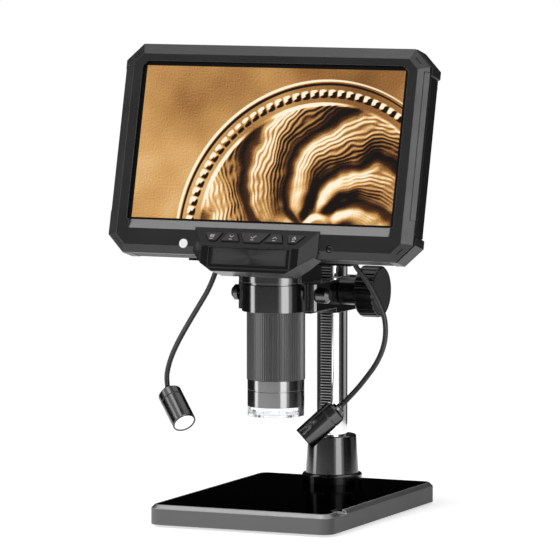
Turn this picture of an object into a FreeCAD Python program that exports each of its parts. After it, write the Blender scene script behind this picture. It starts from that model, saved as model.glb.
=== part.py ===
# Digital microscope with a screen, a focusing stand and two gooseneck lamps.
# Millimetres, X to the right, Y to the back, Z up, origin under the middle of the base.

import FreeCAD, Part
import math
import os
import Sketcher
from FreeCAD import Placement, Rotation, Vector

os.makedirs("parts", exist_ok=True)
doc = FreeCAD.newDocument("microscope")

# Driving sizes
SIZES = [
    ("fit", 0.05, "gap per side between fixed pieces"),
    ("run", 0.05, "gap per side between sliding or turning pieces"),
    ("base_width", 108, "base, side to side"),
    ("base_depth", 152, "base, front to back"),
    ("base_height", 10.9, "base shell"),
    ("foot_height", 1.5, "rubber foot"),
    ("base_corner", 7, "radius of the base corners"),
    ("edge_bevel", 2, "bevel round the top of the base"),
    ("plate_thick", 1.2, "glossy stage plate"),
    ("pillar_inset", 23, "pillar axis in from the back edge of the base"),
    ("pillar_radius", 8.5, "chrome pillar"),
    ("pillar_top", 197, "top of the pillar above the table"),
    ("tooth_module", 0.5, "rack and pinion"),
    ("pinion_teeth", 18, "teeth on the pinion"),
    ("shaft_height", 121.8, "focus shaft above the table"),
    ("shaft_radius", 2, "focus shaft"),
    ("knob_radius", 14.25, "focus knob"),
    ("tube_front", 25, "tube axis in front of the middle"),
    ("ring_radius", 18.6, "clamp ring and neck"),
    ("neck_radius", 16.5, "neck inside the clamp ring"),
    ("barrel_radius", 12.8, "lens barrel"),
    ("focus_radius", 15.96, "ribbed focus ring"),
    ("sleeve_radius", 15.55, "bands under the focus ring"),
    ("lean", 14.5, "screen leans back, degrees"),
    ("screen_front", 47, "foot of the picture in front of the middle"),
    ("screen_level", 165.5, "foot of the picture above the table"),
    ("picture_width", 154.1, "seven inch panel"),
    ("picture_height", 85.9, "seven inch panel"),
    ("case_border", 12.95, "housing beyond each side of the picture"),
    ("case_chin", 18.7, "housing below the picture"),
    ("case_brow", 11.65, "housing above the picture"),
    ("case_corner", 9.5, "cut on the housing corners"),
    ("bezel_front", 1.8, "front of the bezel before the picture"),
    ("bezel_back", -4, "joint between bezel and rear cover"),
    ("case_back", -18, "back of the rear cover"),
    ("neck_wire", 1.5, "radius of a gooseneck"),
    ("lamp_radius", 6.7, "lamp"),
    ("lamp_length", 24.2, "lamp"),
]
sheet = doc.addObject("Spreadsheet::Sheet", "sizes")
for row, (alias, amount, meaning) in enumerate(SIZES, start=1):
    sheet.set(f"A{row}", alias)
    sheet.set(f"B{row}", str(amount))
    sheet.set(f"C{row}", meaning)
    sheet.setAlias(f"B{row}", alias)
doc.recompute()
size = {alias: float(amount) for alias, amount, meaning in SIZES}

fit = size["fit"]
run = size["run"]
X_AXIS = Vector(1, 0, 0)
Y_AXIS = Vector(0, 1, 0)
Z_AXIS = Vector(0, 0, 1)
WORLD = Placement()
kept = []


# Helpers for bodies and sketches
def new_body(label, frame=WORLD):
    body = doc.addObject("PartDesign::Body", label)
    body.Label = label
    body.Placement = frame
    return body


def new_sketch(body, level=0.0, role="XY_Plane"):
    plane = next(f for f in body.Origin.OriginFeatures if f.Role == role)
    sketch = body.newObject("Sketcher::SketchObject", body.Name + "_sketch")
    sketch.AttachmentSupport = [(plane, "")]
    sketch.MapMode = "FlatFace"
    sketch.AttachmentOffset = Placement(Vector(0, 0, level), Rotation())
    return sketch


def outline(sketch, points):
    corners = [Vector(x, y, 0) for x, y in points]
    lines = [Part.LineSegment(a, b) for a, b in zip(corners, corners[1:] + corners[:1])]
    first = sketch.GeometryCount
    sketch.addGeometry(lines, False)
    count = len(lines)
    if count > 20:
        return
    joins = [
        Sketcher.Constraint("Coincident", first + i, 2, first + (i + 1) % count, 1)
        for i in range(count)
    ]
    sketch.addConstraint(joins)


def disc(sketch, x, y, radius, rule=None):
    item = sketch.addGeometry(Part.Circle(Vector(x, y, 0), Z_AXIS, radius), False)
    if rule:
        number = sketch.addConstraint(Sketcher.Constraint("Radius", item, radius))
        sketch.setExpression(f"Constraints[{number}]", rule)


def rounded(sketch, width, depth, corner, x=0.0, y=0.0):
    ways = ((1, 1, 0), (-1, 1, 90), (-1, -1, 180), (1, -1, 270))
    arcs = []
    for side, way, start in ways:
        middle = Vector(x + side * (width / 2 - corner), y + way * (depth / 2 - corner), 0)
        circle = Part.Circle(middle, Z_AXIS, corner)
        arcs.append(Part.ArcOfCircle(circle, math.radians(start), math.radians(start + 90)))
    for arc, following in zip(arcs, arcs[1:] + arcs[:1]):
        sketch.addGeometry(arc, False)
        sketch.addGeometry(Part.LineSegment(arc.EndPoint, following.StartPoint), False)


def pad(body, sketch, length, rule=None, both_ways=False):
    feature = body.newObject("PartDesign::Pad", body.Name + "_pad")
    feature.Profile = sketch
    feature.Length = length
    feature.Midplane = both_ways
    if rule:
        feature.setExpression("Length", rule)
    doc.recompute()
    return feature


def pocket(body, sketch, length, rule=None, both_ways=False):
    before = body.Shape.Volume
    feature = body.newObject("PartDesign::Pocket", body.Name + "_pocket")
    feature.Profile = sketch
    feature.Length = length
    feature.Midplane = both_ways
    if rule:
        feature.setExpression("Length", rule)
    doc.recompute()
    if body.Shape.Volume >= before - 1e-6:
        raise RuntimeError(f"a pocket of {body.Label} cuts nothing")
    return feature


def turned(label, profile, frame=WORLD):
    body = new_body(label, frame)
    sketch = new_sketch(body, role="XZ_Plane")
    outline(sketch, profile)
    feature = body.newObject("PartDesign::Revolution", body.Name + "_turn")
    feature.Profile = sketch
    feature.ReferenceAxis = (sketch, ["V_Axis"])
    feature.Angle = 360
    doc.recompute()
    return body


def prism(label, points, low, high, frame=WORLD, rule=None):
    body = new_body(label, frame)
    sketch = new_sketch(body, low)
    outline(sketch, points)
    pad(body, sketch, high - low, rule)
    return body


def block_points(x0, x1, y0, y1):
    return [(x0, y0), (x1, y0), (x1, y1), (x0, y1)]


def cut_block(body, x0, x1, y0, y1, low, high):
    sketch = new_sketch(body, high)
    outline(sketch, block_points(x0, x1, y0, y1))
    return pocket(body, sketch, high - low)


def cut_holes(body, places, radius, low, high):
    sketch = new_sketch(body, high)
    for x, y in places:
        disc(sketch, x, y, radius)
    return pocket(body, sketch, high - low)


def edges_where(feature, test):
    edges = feature.Shape.Edges
    return [f"Edge{number}" for number, edge in enumerate(edges, start=1) if test(edge)]


def bevel(body, amount, test, rule=None):
    tip = body.Tip
    feature = body.newObject("PartDesign::Chamfer", body.Name + "_bevel")
    feature.Base = (tip, edges_where(tip, test))
    feature.Size = amount
    if rule:
        feature.setExpression("Size", rule)
    doc.recompute()
    return feature


def at_level(edge, level):
    return all(abs(vertex.Point.z - level) < 1e-4 for vertex in edge.Vertexes)


# Helpers for simple solids and booleans
def rod(label, radius, length, place, direction=Z_AXIS):
    item = doc.addObject("Part::Cylinder", label)
    item.Radius = radius
    item.Height = length
    item.Placement = Placement(place, Rotation(Z_AXIS, direction))
    return item


def brick(label, x0, x1, y0, y1, z0, z1, frame=WORLD):
    item = doc.addObject("Part::Box", label)
    item.Length = x1 - x0
    item.Width = y1 - y0
    item.Height = z1 - z0
    item.Placement = frame.multiply(Placement(Vector(x0, y0, z0), Rotation()))
    return item


def group(label, items):
    item = doc.addObject("Part::Compound", label)
    item.Label = label
    item.Links = items
    return item


def joined(label, items):
    item = doc.addObject("Part::MultiFuse", label)
    item.Label = label
    item.Shapes = items
    return item


def without(label, base, tools):
    item = doc.addObject("Part::Cut", label)
    item.Label = label
    item.Base = base
    item.Tool = tools[0] if len(tools) == 1 else joined(label + "_tools", tools)
    return item


def keep(item):
    kept.append(item)
    return item


# Levels, walls and hole places of the base
foot = size["foot_height"]
wall = 3.0
plate_rim = 3.1
cover_rim = 2.0
base_top = foot + size["base_height"]
recess_floor = base_top - size["plate_thick"]
cover_top = foot + 1.5
cavity_top = recess_floor - 2.0
boss_radius = 13.0
bolt_seat = cover_top + 4.5
bolt_radius = 4.0
bolt_depth = 20.0
bolt_head_radius = 6.5
bolt_head_high = 4.0
bolt_sink = bolt_head_radius + 0.5
post_radius = 4.0
post_drill = 1.2
screw_head = 2.3
screw_sink = 0.8
screw_length = 4.7
foot_radius = 6.0
inner_corner = 4.0
cover_corner = 5.0
half_width = size["base_width"] / 2
half_depth = size["base_depth"] / 2
post_x = half_width - 11
post_y = half_depth - 11
posts = [(x, y) for x in (-post_x, post_x) for y in (-post_y, post_y)]
foot_x = half_width - 16
foot_y = half_depth - 26
foot_spots = [(x, y) for y in (-foot_y, foot_y) for x in (-foot_x, foot_x)]
pillar_back = half_depth - size["pillar_inset"]
pillar_spot = (0.0, pillar_back)
pillar_room = 0.2
notch = (half_width - 3.2, 19 - half_depth)
notch_radius = 5.5
notch_sink = 0.8

# Base shell, a hollow casting with screw posts and a boss under the pillar
base_shell = keep(new_body("base_shell"))
sketch = new_sketch(base_shell, foot)
rounded(sketch, size["base_width"], size["base_depth"], size["base_corner"])
pad(base_shell, sketch, size["base_height"], "sizes.base_height")
bevel(base_shell, size["edge_bevel"], lambda e: at_level(e, base_top), "sizes.edge_bevel")
sketch = new_sketch(base_shell, cavity_top)
rounded(sketch, size["base_width"] - 2 * wall, size["base_depth"] - 2 * wall, inner_corner)
for x, y in posts:
    disc(sketch, x, y, post_radius)
disc(sketch, *pillar_spot, boss_radius)
pocket(base_shell, sketch, cavity_top - foot)
sketch = new_sketch(base_shell, cover_top)
cover_width = size["base_width"] - 2 * cover_rim
cover_depth = size["base_depth"] - 2 * cover_rim
rounded(sketch, cover_width + 2 * fit, cover_depth + 2 * fit, cover_corner)
pocket(base_shell, sketch, cover_top - foot)
sketch = new_sketch(base_shell, base_top)
plate_width = size["base_width"] - 2 * plate_rim
plate_depth = size["base_depth"] - 2 * plate_rim
rounded(sketch, plate_width, plate_depth, inner_corner)
pocket(base_shell, sketch, size["plate_thick"], "sizes.plate_thick")
cut_holes(base_shell, posts, post_drill, cover_top, cavity_top)
cut_holes(base_shell, [pillar_spot], bolt_radius + fit, cover_top, base_top)
cut_holes(base_shell, [pillar_spot], bolt_sink, cover_top, bolt_seat)
cut_holes(base_shell, [notch], notch_radius, recess_floor - notch_sink, base_top)

# Glossy stage plate let into the top, with a finger notch at the front right
stage_plate = keep(new_body("stage_plate"))
sketch = new_sketch(stage_plate, recess_floor)
rounded(sketch, plate_width - 2 * fit, plate_depth - 2 * fit, inner_corner)
pad(stage_plate, sketch, size["plate_thick"], "sizes.plate_thick")
cut_holes(stage_plate, [pillar_spot], size["pillar_radius"] + pillar_room, recess_floor, base_top)
cut_holes(stage_plate, [notch], notch_radius, recess_floor, base_top)

# Bottom cover, its screws and the rubber feet
base_cover = keep(new_body("base_cover"))
sketch = new_sketch(base_cover, foot)
rounded(sketch, cover_width, cover_depth, cover_corner)
pad(base_cover, sketch, cover_top - foot)
cut_holes(base_cover, posts, post_drill + 0.1, foot, cover_top)
cut_holes(base_cover, posts, screw_head + 0.1, foot, foot + screw_sink)
screws = []
for number, (x, y) in enumerate(posts, start=1):
    head = rod(f"cover_screw_head_{number}", screw_head, screw_sink, Vector(x, y, foot))
    seat = Vector(x, y, foot + screw_sink)
    shank = rod(f"cover_screw_shank_{number}", post_drill - 0.1, screw_length, seat)
    screws.append(joined(f"cover_screw_{number}", [head, shank]))
keep(group("cover_screws", screws))
feet = []
for number, (x, y) in enumerate(foot_spots, start=1):
    feet.append(rod(f"foot_{number}", foot_radius, foot, Vector(x, y, 0)))
    feet[-1].setExpression("Height", "sizes.foot_height")
keep(group("rubber_feet", feet))

# Tapered socket, pillar, clamping bolt and cap
pillar_radius = size["pillar_radius"]
pillar_frame = Placement(Vector(0, pillar_back, 0), Rotation())
socket_top = base_top + 26.7
flange_radius = 16.8
flange_top = base_top + 4.4
taper_low = 14.9
taper_high = 13.6
keep(turned("pillar_socket", [
    (pillar_radius + fit, base_top), (flange_radius, base_top), (flange_radius, flange_top),
    (flange_radius - 0.6, flange_top + 0.8), (taper_low, flange_top + 1.1),
    (taper_high, socket_top - 0.6), (taper_high - 0.6, socket_top), (pillar_radius + fit, socket_top),
], pillar_frame))

rack_low = socket_top + 1.2
rack_high = size["pillar_top"] - 5
groove_floor = pillar_radius - 1.5
rack_half = 3.0
plug_radius = 3.0
plug_depth = 7.0
pillar = keep(new_body("pillar", pillar_frame))
sketch = new_sketch(pillar, recess_floor)
disc(sketch, 0, 0, pillar_radius, "sizes.pillar_radius")
pad(pillar, sketch, size["pillar_top"] - recess_floor)
cut_block(pillar, -rack_half - fit, rack_half + fit, -pillar_radius - 1, -groove_floor, rack_low, rack_high)
cut_holes(pillar, [(0, 0)], bolt_radius + fit, recess_floor, recess_floor + bolt_depth)
cut_holes(pillar, [(0, 0)], plug_radius + fit, size["pillar_top"] - plug_depth - 1, size["pillar_top"])

head_foot = Vector(0, pillar_back, bolt_seat - bolt_head_high)
bolt_head = rod("bolt_head", bolt_head_radius, bolt_head_high, head_foot)
bolt_shank = rod("bolt_shank", bolt_radius, bolt_depth + 3, Vector(0, pillar_back, bolt_seat))
keep(joined("pillar_bolt", [bolt_head, bolt_shank]))

cap_level = size["pillar_top"]
cap_top = cap_level + 2.7
keep(turned("pillar_cap", [
    (0, cap_level - plug_depth), (plug_radius, cap_level - plug_depth), (plug_radius, cap_level),
    (pillar_radius, cap_level), (pillar_radius, cap_top - 1), (pillar_radius - 1, cap_top), (0, cap_top),
], pillar_frame))

# Rack and pinion, one tooth form for both
tooth = size["tooth_module"]
teeth = int(size["pinion_teeth"])
pitch = math.pi * tooth
pressure = math.radians(20)
pitch_radius = tooth * teeth / 2
play = 0.06
rack_web = 1.375
root_depth = 1.25 * tooth
rack_back = pillar_back - groove_floor
root_line = rack_back - rack_web
pitch_line = root_line - root_depth
tip_line = pitch_line - tooth
shaft_y = pitch_line - pitch_radius
shaft_z = size["shaft_height"]


def rack_profile():
    first = math.ceil((rack_low + 0.1 - shaft_z) / pitch)
    last = math.floor((rack_high - 0.1 - shaft_z) / pitch)
    half_tip = pitch / 4 - tooth * math.tan(pressure) - play / 2
    half_root = pitch / 4 + root_depth * math.tan(pressure) - play / 2
    points = [(rack_back, shaft_z + first * pitch), (root_line, shaft_z + first * pitch)]
    for step in range(first, last):
        middle = shaft_z + (step + 0.5) * pitch
        points.append((root_line, middle - half_root))
        points.append((tip_line, middle - half_tip))
        points.append((tip_line, middle + half_tip))
        points.append((root_line, middle + half_root))
    points.append((root_line, shaft_z + last * pitch))
    points.append((rack_back, shaft_z + last * pitch))
    return points


rack = keep(new_body("rack"))
sketch = new_sketch(rack, role="YZ_Plane")
outline(sketch, rack_profile())
pad(rack, sketch, 2 * rack_half, both_ways=True)


def involute(angle):
    return math.tan(angle) - angle


def pinion_profile():
    base_radius = pitch_radius * math.cos(pressure)
    tip_radius = pitch_radius + tooth
    root_radius = pitch_radius - root_depth
    steps = 6
    radii = [base_radius + (tip_radius - base_radius) * k / steps for k in range(steps + 1)]
    half_pitch_angle = (pitch / 2 - play) / 2 / pitch_radius
    flank = []
    for radius in radii:
        at = math.acos(min(1.0, base_radius / radius))
        flank.append((radius, half_pitch_angle + involute(pressure) - involute(at)))
    points = []
    for step in range(teeth):
        middle = math.pi / 2 + 2 * math.pi * step / teeth
        sides = [(root_radius, flank[0][1])] + flank
        for radius, angle in sides:
            points.append((radius * math.cos(middle - angle), radius * math.sin(middle - angle)))
        for radius, angle in reversed(sides):
            points.append((radius * math.cos(middle + angle), radius * math.sin(middle + angle)))
    return points


shaft_frame = Placement(Vector(0, shaft_y, shaft_z), Rotation(Y_AXIS, 90))
pinion_shaft = keep(new_body("pinion_shaft", shaft_frame))
sketch = new_sketch(pinion_shaft, -rack_half)
outline(sketch, pinion_profile())
pad(pinion_shaft, sketch, 2 * rack_half)
sketch = new_sketch(pinion_shaft)
disc(sketch, 0, 0, size["shaft_radius"], "sizes.shaft_radius")
shaft_length = 68.0
pad(pinion_shaft, sketch, shaft_length, both_ways=True)

# Two fluted focus knobs with grey discs let into their faces
knob_radius = size["knob_radius"]
knob_in = 12.4
grip_in = 24.0
knob_out = 35.6
cap_radius = 12.5
cap_sink = 1.0
hub_radius = 8.0
flutes = 24
flute_radius = 1.1
flute_out = 0.55
knob_caps = []
for side, turn in (("right", 90), ("left", -90)):
    frame = Placement(Vector(0, shaft_y, shaft_z), Rotation(Y_AXIS, turn))
    bore = size["shaft_radius"] + fit
    knob = keep(turned(f"focus_knob_{side}", [
        (bore, knob_in), (hub_radius, knob_in), (hub_radius, grip_in), (knob_radius - 1.2, grip_in),
        (knob_radius, grip_in + 1.2), (knob_radius, knob_out - 0.8), (knob_radius - 0.8, knob_out),
        (cap_radius + fit, knob_out), (cap_radius + fit, knob_out - cap_sink), (bore, knob_out - cap_sink),
    ], frame))
    sketch = new_sketch(knob, knob_out)
    disc(sketch, knob_radius + flute_out, 0, flute_radius)
    flute = pocket(knob, sketch, knob_out - grip_in)
    pattern = knob.newObject("PartDesign::PolarPattern", knob.Name + "_flutes")
    pattern.Originals = [flute]
    pattern.Axis = (sketch, ["N_Axis"])
    pattern.Angle = 360
    pattern.Occurrences = flutes
    knob.Tip = pattern
    doc.recompute()
    knob_caps.append(turned(f"knob_cap_{side}", [
        (0, knob_out - cap_sink), (cap_radius, knob_out - cap_sink), (cap_radius, knob_out - 0.3),
        (cap_radius - 0.3, knob_out), (0, knob_out),
    ], frame))
keep(group("knob_caps", knob_caps))

# Carriage that runs on the pillar, with the arm to the clamp ring
ring_low = 115.8
ring_high = 130.6
arm_top = 128.1
arm_low = 112.5
block_low = 109.6
arm_half = 12.0
arm_front = -4.0
block_front = pillar_back - 22
block_back = pillar_back + 12.5
liner_radius = pillar_radius + 1.5
slot_half = 3.4
tooth_room = 0.4
screw_level = 121.9
screw_spots = (-8, 8)
screw_radius = 1.45
screw_hole = 1.6
screw_reach = 10.0
carriage = keep(prism(
    "carriage_arm", block_points(-arm_half, arm_half, arm_front, block_back), arm_low, arm_top))
sketch = new_sketch(carriage, block_low)
outline(sketch, block_points(-arm_half, arm_half, block_front, block_back))
pad(carriage, sketch, arm_low - block_low)
bevel(carriage, 1.0, lambda e: at_level(e, arm_top) and e.BoundBox.XLength < 0.01)
cut_holes(carriage, [pillar_spot], liner_radius, block_low, arm_top)
cut_block(
    carriage, -slot_half, slot_half, tip_line - tooth_room, pillar_back, block_low, arm_top)
sketch = new_sketch(carriage, role="YZ_Plane")
disc(sketch, shaft_y, shaft_z, pitch_radius + tooth + 0.2)
pocket(carriage, sketch, 4 * arm_half, both_ways=True)
sketch = new_sketch(carriage, -arm_front, role="XZ_Plane")
for x in screw_spots:
    disc(sketch, x, screw_level, screw_radius + fit)
pocket(carriage, sketch, screw_reach)

liner = keep(new_body("slide_liner", pillar_frame))
sketch = new_sketch(liner, block_low)
disc(sketch, 0, 0, liner_radius)
disc(sketch, 0, 0, pillar_radius + run)
pad(liner, sketch, arm_top - block_low)
cut_block(liner, -slot_half, slot_half, -liner_radius - 1, -4, block_low, arm_top)

bush_out = pitch_radius + tooth + 0.15
bush_reach = pillar_back - shaft_y - bush_out
bush_in = math.sqrt(liner_radius ** 2 - bush_reach ** 2) + 0.2
bushes = []
for number, start in enumerate((bush_in, -arm_half), start=1):
    bush_place = Vector(start, shaft_y, shaft_z)
    outer = rod(f"bush_{number}", bush_out, arm_half - bush_in, bush_place, X_AXIS)
    inner = rod(f"bush_hole_{number}", size["shaft_radius"] + run, arm_half - bush_in, bush_place, X_AXIS)
    bushes.append(without(f"bushing_{number}", outer, [inner]))
keep(group("shaft_bushings", bushes))

# Clamp ring with flat wings, two thumbscrews and the screws to the arm
tube_frame = Placement(Vector(0, -size["tube_front"], 0), Rotation())
tube_y = -size["tube_front"]
ring_radius = size["ring_radius"]
neck_radius = size["neck_radius"]
wing_half = 23.3
wing_front = -24.0
wing_bevel = 1.2
thumb_y = -21.0
thumb_z = 124.6
thumb_radius = 2.0
thumb_head = 4.3
head_high = 1.8
head_seat = -7.2
clamp = new_body("clamp_body")
sketch = new_sketch(clamp, ring_low)
outline(sketch, block_points(-wing_half, wing_half, wing_front, arm_front))
pad(clamp, sketch, ring_high - ring_low)
bevel(clamp, wing_bevel, lambda e: e.BoundBox.ZLength > 5 and e.BoundBox.YMax < wing_front + 4)
sketch = new_sketch(clamp, ring_low)
disc(sketch, 0, tube_y, ring_radius, "sizes.ring_radius")
pad(clamp, sketch, ring_high - ring_low)
cut_holes(clamp, [(0, tube_y)], neck_radius + run, ring_low, ring_high)
drills = [rod("thumb_drill", thumb_radius + run, 60, Vector(-30, thumb_y, thumb_z), X_AXIS)]
arm_screws = []
for number, x in enumerate(screw_spots, start=1):
    seat = Vector(x, head_seat, screw_level)
    drills.append(rod(f"screw_drill_{number}", screw_hole, 8, seat - Y_AXIS * 4.8, Y_AXIS))
    drills.append(rod(f"screw_sink_{number}", screw_hole + 1, 8, seat - Y_AXIS * 8, Y_AXIS))
    head = rod(f"arm_screw_head_{number}", screw_hole + 0.8, head_high, seat - Y_AXIS * head_high, Y_AXIS)
    shank = rod(f"arm_screw_shank_{number}", screw_radius, 12, seat, Y_AXIS)
    arm_screws.append(joined(f"arm_screw_{number}", [head, shank]))
keep(without("clamp_ring", clamp, drills))
keep(group("arm_screws", arm_screws))

near_side = abs(thumb_y - tube_y) - thumb_radius
shank_tip = math.sqrt(neck_radius ** 2 - near_side ** 2) + 0.1
for side, turn, grip in (("right", 90, 7.2), ("left", -90, 4.0)):
    frame = Placement(Vector(0, thumb_y, thumb_z), Rotation(Y_AXIS, turn))
    start = wing_half + 0.1
    keep(turned(f"thumbscrew_{side}", [
        (0, shank_tip), (thumb_radius, shank_tip), (thumb_radius, start), (thumb_head, start),
        (thumb_head, start + grip - 1.6), (thumb_head - 1.7, start + grip), (0, start + grip),
    ], frame))

# Neck of the head, turning in the clamp ring
collar_low = ring_high + 0.1
collar_step = 1.0
saddle_top = 142.3
neck_top = saddle_top - 1.3
barrel_radius = size["barrel_radius"]
neck = new_body("neck_block", tube_frame)
keep(neck)
sketch = new_sketch(neck, collar_low + collar_step)
outline(sketch, block_points(-ring_radius, ring_radius, -8, 20))
pad(neck, sketch, saddle_top - collar_low - collar_step)
sketch = new_sketch(neck, role="XZ_Plane")
outline(sketch, [
    (0, ring_low + 0.3), (neck_radius, ring_low + 0.3), (neck_radius, collar_low),
    (ring_radius - 1, collar_low), (ring_radius - 1, collar_low + collar_step),
    (ring_radius, collar_low + collar_step), (ring_radius, neck_top), (0, neck_top),
])
feature = neck.newObject("PartDesign::Revolution", "neck_turn")
feature.Profile = sketch
feature.ReferenceAxis = (sketch, ["V_Axis"])
feature.Angle = 360
doc.recompute()
cut_holes(neck, [(0, 0)], barrel_radius + fit, ring_low, saddle_top)

# Lens barrel, lenses, ribbed focus ring, lower bands, light ring and clear cover
ring_top = ring_low - 0.1
ring_foot = 78.4
sleeve_low = ring_foot - 14.8
barrel_low = sleeve_low + 0.4
front_bore = 8.0
rear_bore = 10.5
rear_seat = barrel_low + 24
stop_low = barrel_low + 6
stop_radius = 6.9
keep(turned("lens_barrel", [
    (front_bore, barrel_low), (barrel_radius, barrel_low), (barrel_radius, neck_top),
    (rear_bore, neck_top), (rear_bore, rear_seat), (front_bore, rear_seat),
    (front_bore, stop_low + 1), (stop_radius, stop_low + 1), (stop_radius, stop_low),
    (front_bore, stop_low),
], tube_frame))


def lens(label, radius, clear, low, edge, dome):
    arcs = 5
    steps = [clear * k / arcs for k in range(arcs + 1)]
    under = [(r, low - dome * (1 - (r / clear) ** 2)) for r in steps] + [(radius, low)]
    over = [(r, 2 * low + edge - z) for r, z in reversed(under)]
    return turned(label, under + over, tube_frame)


front_lens = lens("front_lens", front_bore - fit, 6.8, stop_low - 3, 3, 0.8)
rear_lens = lens("rear_lens", rear_bore - fit, 7.8, rear_seat, 2.5, 1.0)
keep(group("lenses", [front_lens, rear_lens]))

focus_ring = keep(new_body("focus_ring", tube_frame))
focus_radius = size["focus_radius"]
ribs = 72
rib_root = focus_radius - 0.4
points = []
for rib in range(ribs):
    for part, radius in ((0.0, rib_root), (0.25, focus_radius), (0.5, focus_radius), (0.75, rib_root)):
        angle = 2 * math.pi * (rib + part) / ribs
        points.append((radius * math.cos(angle), radius * math.sin(angle)))
sketch = new_sketch(focus_ring, ring_foot)
outline(sketch, points)
pad(focus_ring, sketch, ring_top - ring_foot)
cut_holes(focus_ring, [(0, 0)], barrel_radius + run, ring_foot, ring_top)

sleeve_radius = size["sleeve_radius"]
sleeve_top = ring_foot - 0.1
groove_low = sleeve_low + 8.5
groove_high = groove_low + 0.6
groove_deep = 0.4
tab_half = 3.0
cover_low = sleeve_low - 5.2
cover_out = 15.4
cover_in = 13.75
cover_floor = 1.2
sleeve = keep(turned("lower_sleeve", [
    (barrel_radius + fit, sleeve_low), (sleeve_radius, sleeve_low), (sleeve_radius, groove_low),
    (sleeve_radius - groove_deep, groove_low), (sleeve_radius - groove_deep, groove_high),
    (sleeve_radius, groove_high), (sleeve_radius, sleeve_top), (barrel_radius + fit, sleeve_top),
], tube_frame))
sketch = new_sketch(sleeve, cover_low + 0.1)
for side in (-1, 1):
    x0, x1 = sorted((side * (cover_in + 0.25), side * (cover_out - 0.2)))
    outline(sketch, block_points(x0, x1, -tab_half, tab_half))
pad(sleeve, sketch, sleeve_low - cover_low + 0.2)

board_thick = 1.2
light_hole = 7.0
light_circle = 10.3
light_radius = 1.4
ring_lights = 8
board = rod("light_board", cover_in - 0.15, board_thick, Vector(0, tube_y, sleeve_low - board_thick))
hole = rod("light_board_hole", light_hole, 3, Vector(0, tube_y, sleeve_low - 2))
lights = [without("light_ring_board", board, [hole])]
for number in range(ring_lights):
    angle = 2 * math.pi * (number + 0.5) / ring_lights
    x, y = light_circle * math.cos(angle), light_circle * math.sin(angle)
    place = Vector(x, tube_y + y, sleeve_low - 2 * board_thick)
    lights.append(rod(f"ring_light_{number + 1}", light_radius, board_thick, place))
keep(group("light_ring", lights))

cover = keep(turned("clear_cover", [
    (light_hole, cover_low), (cover_out, cover_low), (cover_out, sleeve_low), (cover_in, sleeve_low),
    (cover_in, cover_low + cover_floor), (light_hole, cover_low + cover_floor),
], tube_frame))
for side in (-1, 1):
    x0, x1 = sorted((side * (cover_in + 0.15), side * (cover_out + 0.6)))
    cut_block(cover, x0, x1, -tab_half - 0.1, tab_half + 0.1, cover_low, sleeve_low)

camera_half = 15.0
camera_front = tube_y - 7.5
camera_back = tube_y + 16
board = brick("camera_plate", -camera_half, camera_half, camera_front, camera_back,
              saddle_top, saddle_top + board_thick)
chip = brick("camera_chip", -4, 4, tube_y - 3, tube_y + 3, saddle_top - 1, saddle_top)
keep(joined("camera_board", [board, chip]))

# Screen housing, modelled in its own leaning frame: x along the picture, y up it, z to the viewer
lean = math.radians(size["lean"])
head_origin = Vector(0, -size["screen_front"], size["screen_level"])
HEAD = Placement(head_origin, Rotation(X_AXIS, 90 - size["lean"]))
picture_half = size["picture_width"] / 2
case_half = picture_half + size["case_border"]
case_foot = -size["case_chin"]
case_head = size["picture_height"] + size["case_brow"]
bezel_front = size["bezel_front"]
bezel_back = size["bezel_back"]
case_back = size["case_back"]


def in_head(y, z):
    dy = y - head_origin.y
    dz = z - head_origin.z
    return (dy * math.sin(lean) + dz * math.cos(lean), -dy * math.cos(lean) + dz * math.sin(lean))


def octagon(half, low, high, cut):
    return [
        (half, low + cut), (half, high - cut), (half - cut, high), (-half + cut, high),
        (-half, high - cut), (-half, low + cut), (-half + cut, low), (half - cut, low),
    ]


def window(half, low, high, cut):
    return [
        (half, low), (half, high - cut), (half - cut, high), (-half + cut, high), (-half, high - cut),
        (-half, low),
    ]


opening_half = picture_half + 1.65
opening_low = -0.5
opening_top = size["picture_height"] + 1.6
opening_cut = 3.0
glass_back = -0.8
glass_gap = 0.15
panel_back = -3.4
panel_half = case_half - 7
panel_low = -8.0
panel_top = case_head - 5
bevel_wide = 6.0
bevel_foot = 4.0
bevel_deep = 3.0
bevel_cut = 5.5
strip_edge = case_half - 2.7
strip_deep = 0.5
strip_ends = (4.0, 85.0)
slot_long = 5.0
slot_wide = 0.8
slot_deep = 0.7
ledge_low = -5.6
ledge_high = 0.6
drill_radius = 1.2
side_x = case_half - 4.2
case_screws = [(x, y) for y in (-2, case_head - 18) for x in (-side_x, side_x)]
case_screws += [(x, case_foot + 6) for x in (-58, 58)]
disc_spot = (-43.0, -13.3)
disc_radius = 2.5
disc_seat = 0.8
lens_spot = (43.0, -13.3)
lens_radius = 2.15
lens_seat = 0.2
keys_half = 31.3
keys_low = case_foot + 0.6
flange_high = -7.4
flange_floor = 0.2
case_cut = size["case_corner"]
bezel = prism("bezel_body", octagon(case_half, case_foot, case_head, case_cut),
              bezel_back, bezel_front - bevel_deep, HEAD)
lower = new_sketch(bezel, bezel_front - bevel_deep)
outline(lower, octagon(case_half, case_foot, case_head, case_cut))
upper = new_sketch(bezel, bezel_front)
outline(upper, octagon(case_half - bevel_wide, case_foot + bevel_foot, case_head - bevel_wide, bevel_cut))
slopes = bezel.newObject("PartDesign::AdditiveLoft", "bezel_slopes")
slopes.Profile = lower
slopes.Sections = [upper]
slopes.Ruled = True
doc.recompute()
for side in (-1, 1):
    sketch = new_sketch(bezel, -sum(strip_ends) / 2, role="XZ_Plane")
    fall = bevel_deep / bevel_wide
    level = bezel_front - (strip_edge - case_half + bevel_wide) * fall - strip_deep
    out = case_half + 0.1
    outline(sketch, [(side * strip_edge, 3), (side * strip_edge, level),
                     (side * out, level - (out - strip_edge) * fall), (side * out, 3)])
    pocket(bezel, sketch, strip_ends[1] - strip_ends[0], both_ways=True)
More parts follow.
